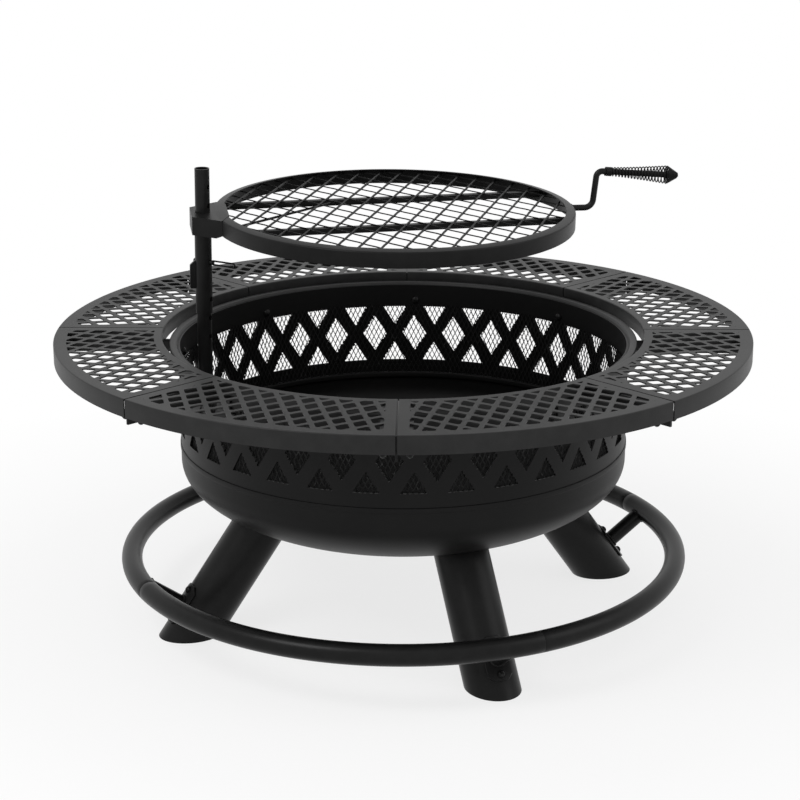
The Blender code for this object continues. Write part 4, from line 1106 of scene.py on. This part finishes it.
def handle_path():
    """Middle line of the rod: out from the rim, up, and out again through the grip to its tip."""
    top = ROD_RISE - ROD_DROP
    start = GRATE_RADIUS + GRIP_START
    run = GRIP_LENGTH - ROD_END_INSET
    rise = math.tan(GRIP_DROOP) * (GRIP_START - ROD_RISER)
    return rounded([(GRATE_RADIUS + GAP, -ROD_DROP), (GRATE_RADIUS + ROD_FIRST_BEND, -ROD_DROP),
                    (GRATE_RADIUS + ROD_RISER, top + rise),
                    (start + run * math.cos(GRIP_DROOP), top - run * math.sin(GRIP_DROOP))],
                   [0, ROD_LOWER_BEND, ROD_UPPER_BEND, 0], 10, closed=False)


def grip_part():
    """Wound wire: a helix with touching turns on the neck and the end cone, and open turns on the swell between."""
    cone = GRIP_LENGTH - GRIP_FATTEST - GRIP_WIRE
    neck, fat, tip = GRIP_NECK_RADIUS - GRIP_WIRE, GRIP_RADIUS - GRIP_WIRE, GRIP_TIP_RADIUS
    counts = [GRIP_NECK / (2 * GRIP_WIRE), (GRIP_FATTEST - GRIP_NECK) / GRIP_PITCH,
              math.hypot(cone, fat - tip) / (2.05 * GRIP_WIRE)]
    stops = np.cumsum([0, *counts])
    turns = np.linspace(0, stops[-1], int(stops[-1] * 26))
    along = np.interp(turns, stops, [GRIP_WIRE, GRIP_NECK, GRIP_FATTEST, GRIP_LENGTH - GRIP_WIRE])
    swell = np.clip((along - GRIP_NECK) / (GRIP_FATTEST - GRIP_NECK), 0, 1) ** 1.25
    close = np.clip((along - GRIP_FATTEST) / cone, 0, 1)
    radius = neck + (fat - neck) * swell + (tip - fat) * close
    return rod(upright(radius, turns * TURN, along), GRIP_WIRE, 7, (0, 0, 1))


piece("angle_rim", moved(rim_part(), GRATE), grate_coat, "grate", "grate_frame")
piece("expanded_grate", moved(mesh_part(), GRATE), mesh_coat, "grate", "grate_mesh")
bevelled(piece("flared_bracket", moved(bracket_part(), LEAN), grate_coat, "grate", "grate_bracket"), GRATE_EDGE)
for index in (1, 2):
    eased(f"square_bar_{index}", f"cross_bar_{index}", grate_coat, "grate", GRATE_EDGE, BAR_SHARE)
bend_points = np.insert(handle_path(), 1, 0, axis=1)
collar = bead((GRATE_RADIUS + BEAD_SEAT, 0, -ROD_DROP), (1, 0, 0), ROD_RADIUS, COLLAR_BEAD, COLLAR_LUMPS)
piece("bent_handle", moved(joined(rod(bend_points, ROD_RADIUS, 28, (0, 1, 0)), collar), GRATE), tube_coat,
      "grate", "handle_rod")
grip_seat = (GRATE @ Matrix.Translation((GRATE_RADIUS + GRIP_START, 0, ROD_RISE - ROD_DROP))
             @ Matrix.Rotation(math.pi / 2 + GRIP_DROOP, 4, "Y"))
tip = bar(GRIP_TIP_RADIUS, GRIP_LENGTH - TIP_LENGTH, GRIP_LENGTH, 0.0006, 0.0014, 24)
piece("wound_wire_grip", moved(joined(grip_part(), tip), grip_seat), grip_coat, "grate", "coil_grip")

for name, coat in (("brace_rod", grate_coat), ("post_socket", bowl_coat)):
    nodes[name].data.materials.clear()
    nodes[name].data.materials.append(coat)


# Floor, light and camera

FLOOR_GREY = 0.86
FLOOR_WHITE_SHARE = 0.76
FLOOR_WHITE_FROM = 0.75
FLOOR_WHITE_TO = 1.4
FLOOR_FADE_FROM = 0.9
FLOOR_FADE_TO = 2.2
FLOOR_REACH = 6.0
FLOOR_DROP = 0.0002
SKY_LIGHT = 0.75
SKY_SEEN = 1.0
LAMP_TARGET = (0, 0, 0.4)
LAMPS = {"key_lamp": ((-2.0, -1.9, 3.1), 1.4, 48), "fill_lamp": ((2.8, -0.8, 2.4), 2.2, 16)}
CAMERA_LENS = 94.0
CAMERA_SENSOR = 36
CAMERA_DISTANCE = 3.5
CAMERA_ABOVE_TABLE = 0.94699


def floor_finish():
    """Pale floor that keeps the object's shadow: to the camera it is mostly white, and all white away from it."""
    f = Finish("pale_floor")
    away = f.node("ShaderNodeVectorMath", {"operation": "LENGTH"}, f.place(), out="Value")
    seen = f.node("ShaderNodeMath", {"operation": "MAXIMUM"}, f.node("ShaderNodeLightPath", {}, out="Is Camera Ray"),
                  f.node("ShaderNodeLightPath", {}, out="Is Glossy Ray"))
    white = f.node("ShaderNodeMath", {"operation": "MAXIMUM"},
                   f.ramp(away, FLOOR_WHITE_FROM, FLOOR_WHITE_TO, FLOOR_WHITE_SHARE, 1.0) * seen,
                   f.ramp(away, FLOOR_FADE_FROM, FLOOR_FADE_TO))
    f.set(Base_Color=grey(FLOOR_GREY), Roughness=0.9)
    glow = f.node("ShaderNodeEmission", {}, grey(1.0), 1.0)
    f.feed(f.output.inputs[0], f.node("ShaderNodeMixShader", {}, white, Value(f, f.shader.outputs[0]), glow))
    return f.material


stops = np.linspace(-FLOOR_REACH, FLOOR_REACH, 9)
floor_x, floor_y = np.meshgrid(stops, stops, indexing="ij")
floor_points, floor_faces = surface(np.stack([floor_x, floor_y, np.full(floor_x.shape, -FLOOR_DROP)], -1))
floor_mesh = bpy.data.meshes.new("floor")
floor_mesh.from_pydata(floor_points.tolist(), [], floor_faces.tolist())
floor_mesh.materials.append(floor_finish())
floor = placed("floor", floor_mesh)

world = bpy.data.worlds.new("studio")
bpy.context.scene.world = world
world.use_nodes = True
sky = world.node_tree
lights = sky.nodes["Background"]
seen = sky.nodes.new("ShaderNodeBackground")
for background, strength in ((lights, SKY_LIGHT), (seen, SKY_SEEN)):
    background.inputs["Color"].default_value = grey(1.0)
    background.inputs["Strength"].default_value = strength
ray = sky.nodes.new("ShaderNodeLightPath")
either = sky.nodes.new("ShaderNodeMath")
either.operation = "MAXIMUM"
blend = sky.nodes.new("ShaderNodeMixShader")
for source, target in ((ray.outputs["Is Camera Ray"], either.inputs[0]),
                       (ray.outputs["Is Glossy Ray"], either.inputs[1]),
                       (either.outputs[0], blend.inputs[0]), (lights.outputs[0], blend.inputs[1]),
                       (seen.outputs[0], blend.inputs[2]),
                       (blend.outputs[0], sky.nodes["World Output"].inputs[0])):
    sky.links.new(source, target)

for name, (spot, size, power) in LAMPS.items():
    light = bpy.data.lights.new(name, "AREA")
    light.size = size
    light.energy = power
    made = placed(name, light)
    made.location = spot
    made.rotation_euler = (Vector(LAMP_TARGET) - Vector(spot)).to_track_quat("-Z", "Y").to_euler()

camera_data = bpy.data.cameras.new("camera")
camera_data.sensor_width = CAMERA_SENSOR
camera_data.lens = CAMERA_LENS
camera = placed("camera", camera_data)
azimuth = math.radians(1.0)
pitch = 0.2985
yaw = -0.00162 - azimuth
roll = -0.00179
spot = Vector((CAMERA_DISTANCE * math.sin(azimuth), -CAMERA_DISTANCE * math.cos(azimuth),
               TABLE_TOP + CAMERA_ABOVE_TABLE))
forward = Vector((math.sin(yaw) * math.cos(pitch), math.cos(yaw) * math.cos(pitch), -math.sin(pitch)))
level = Vector((math.cos(yaw), -math.sin(yaw), 0))
upward = level.cross(forward)
right = level * math.cos(roll) + upward * math.sin(roll)
above = -level * math.sin(roll) + upward * math.cos(roll)
camera.matrix_world = Matrix.Translation(spot) @ Matrix((right, above, -forward)).transposed().to_4x4()
bpy.context.scene.camera = camera
bpy.context.scene.view_settings.view_transform = "Standard"
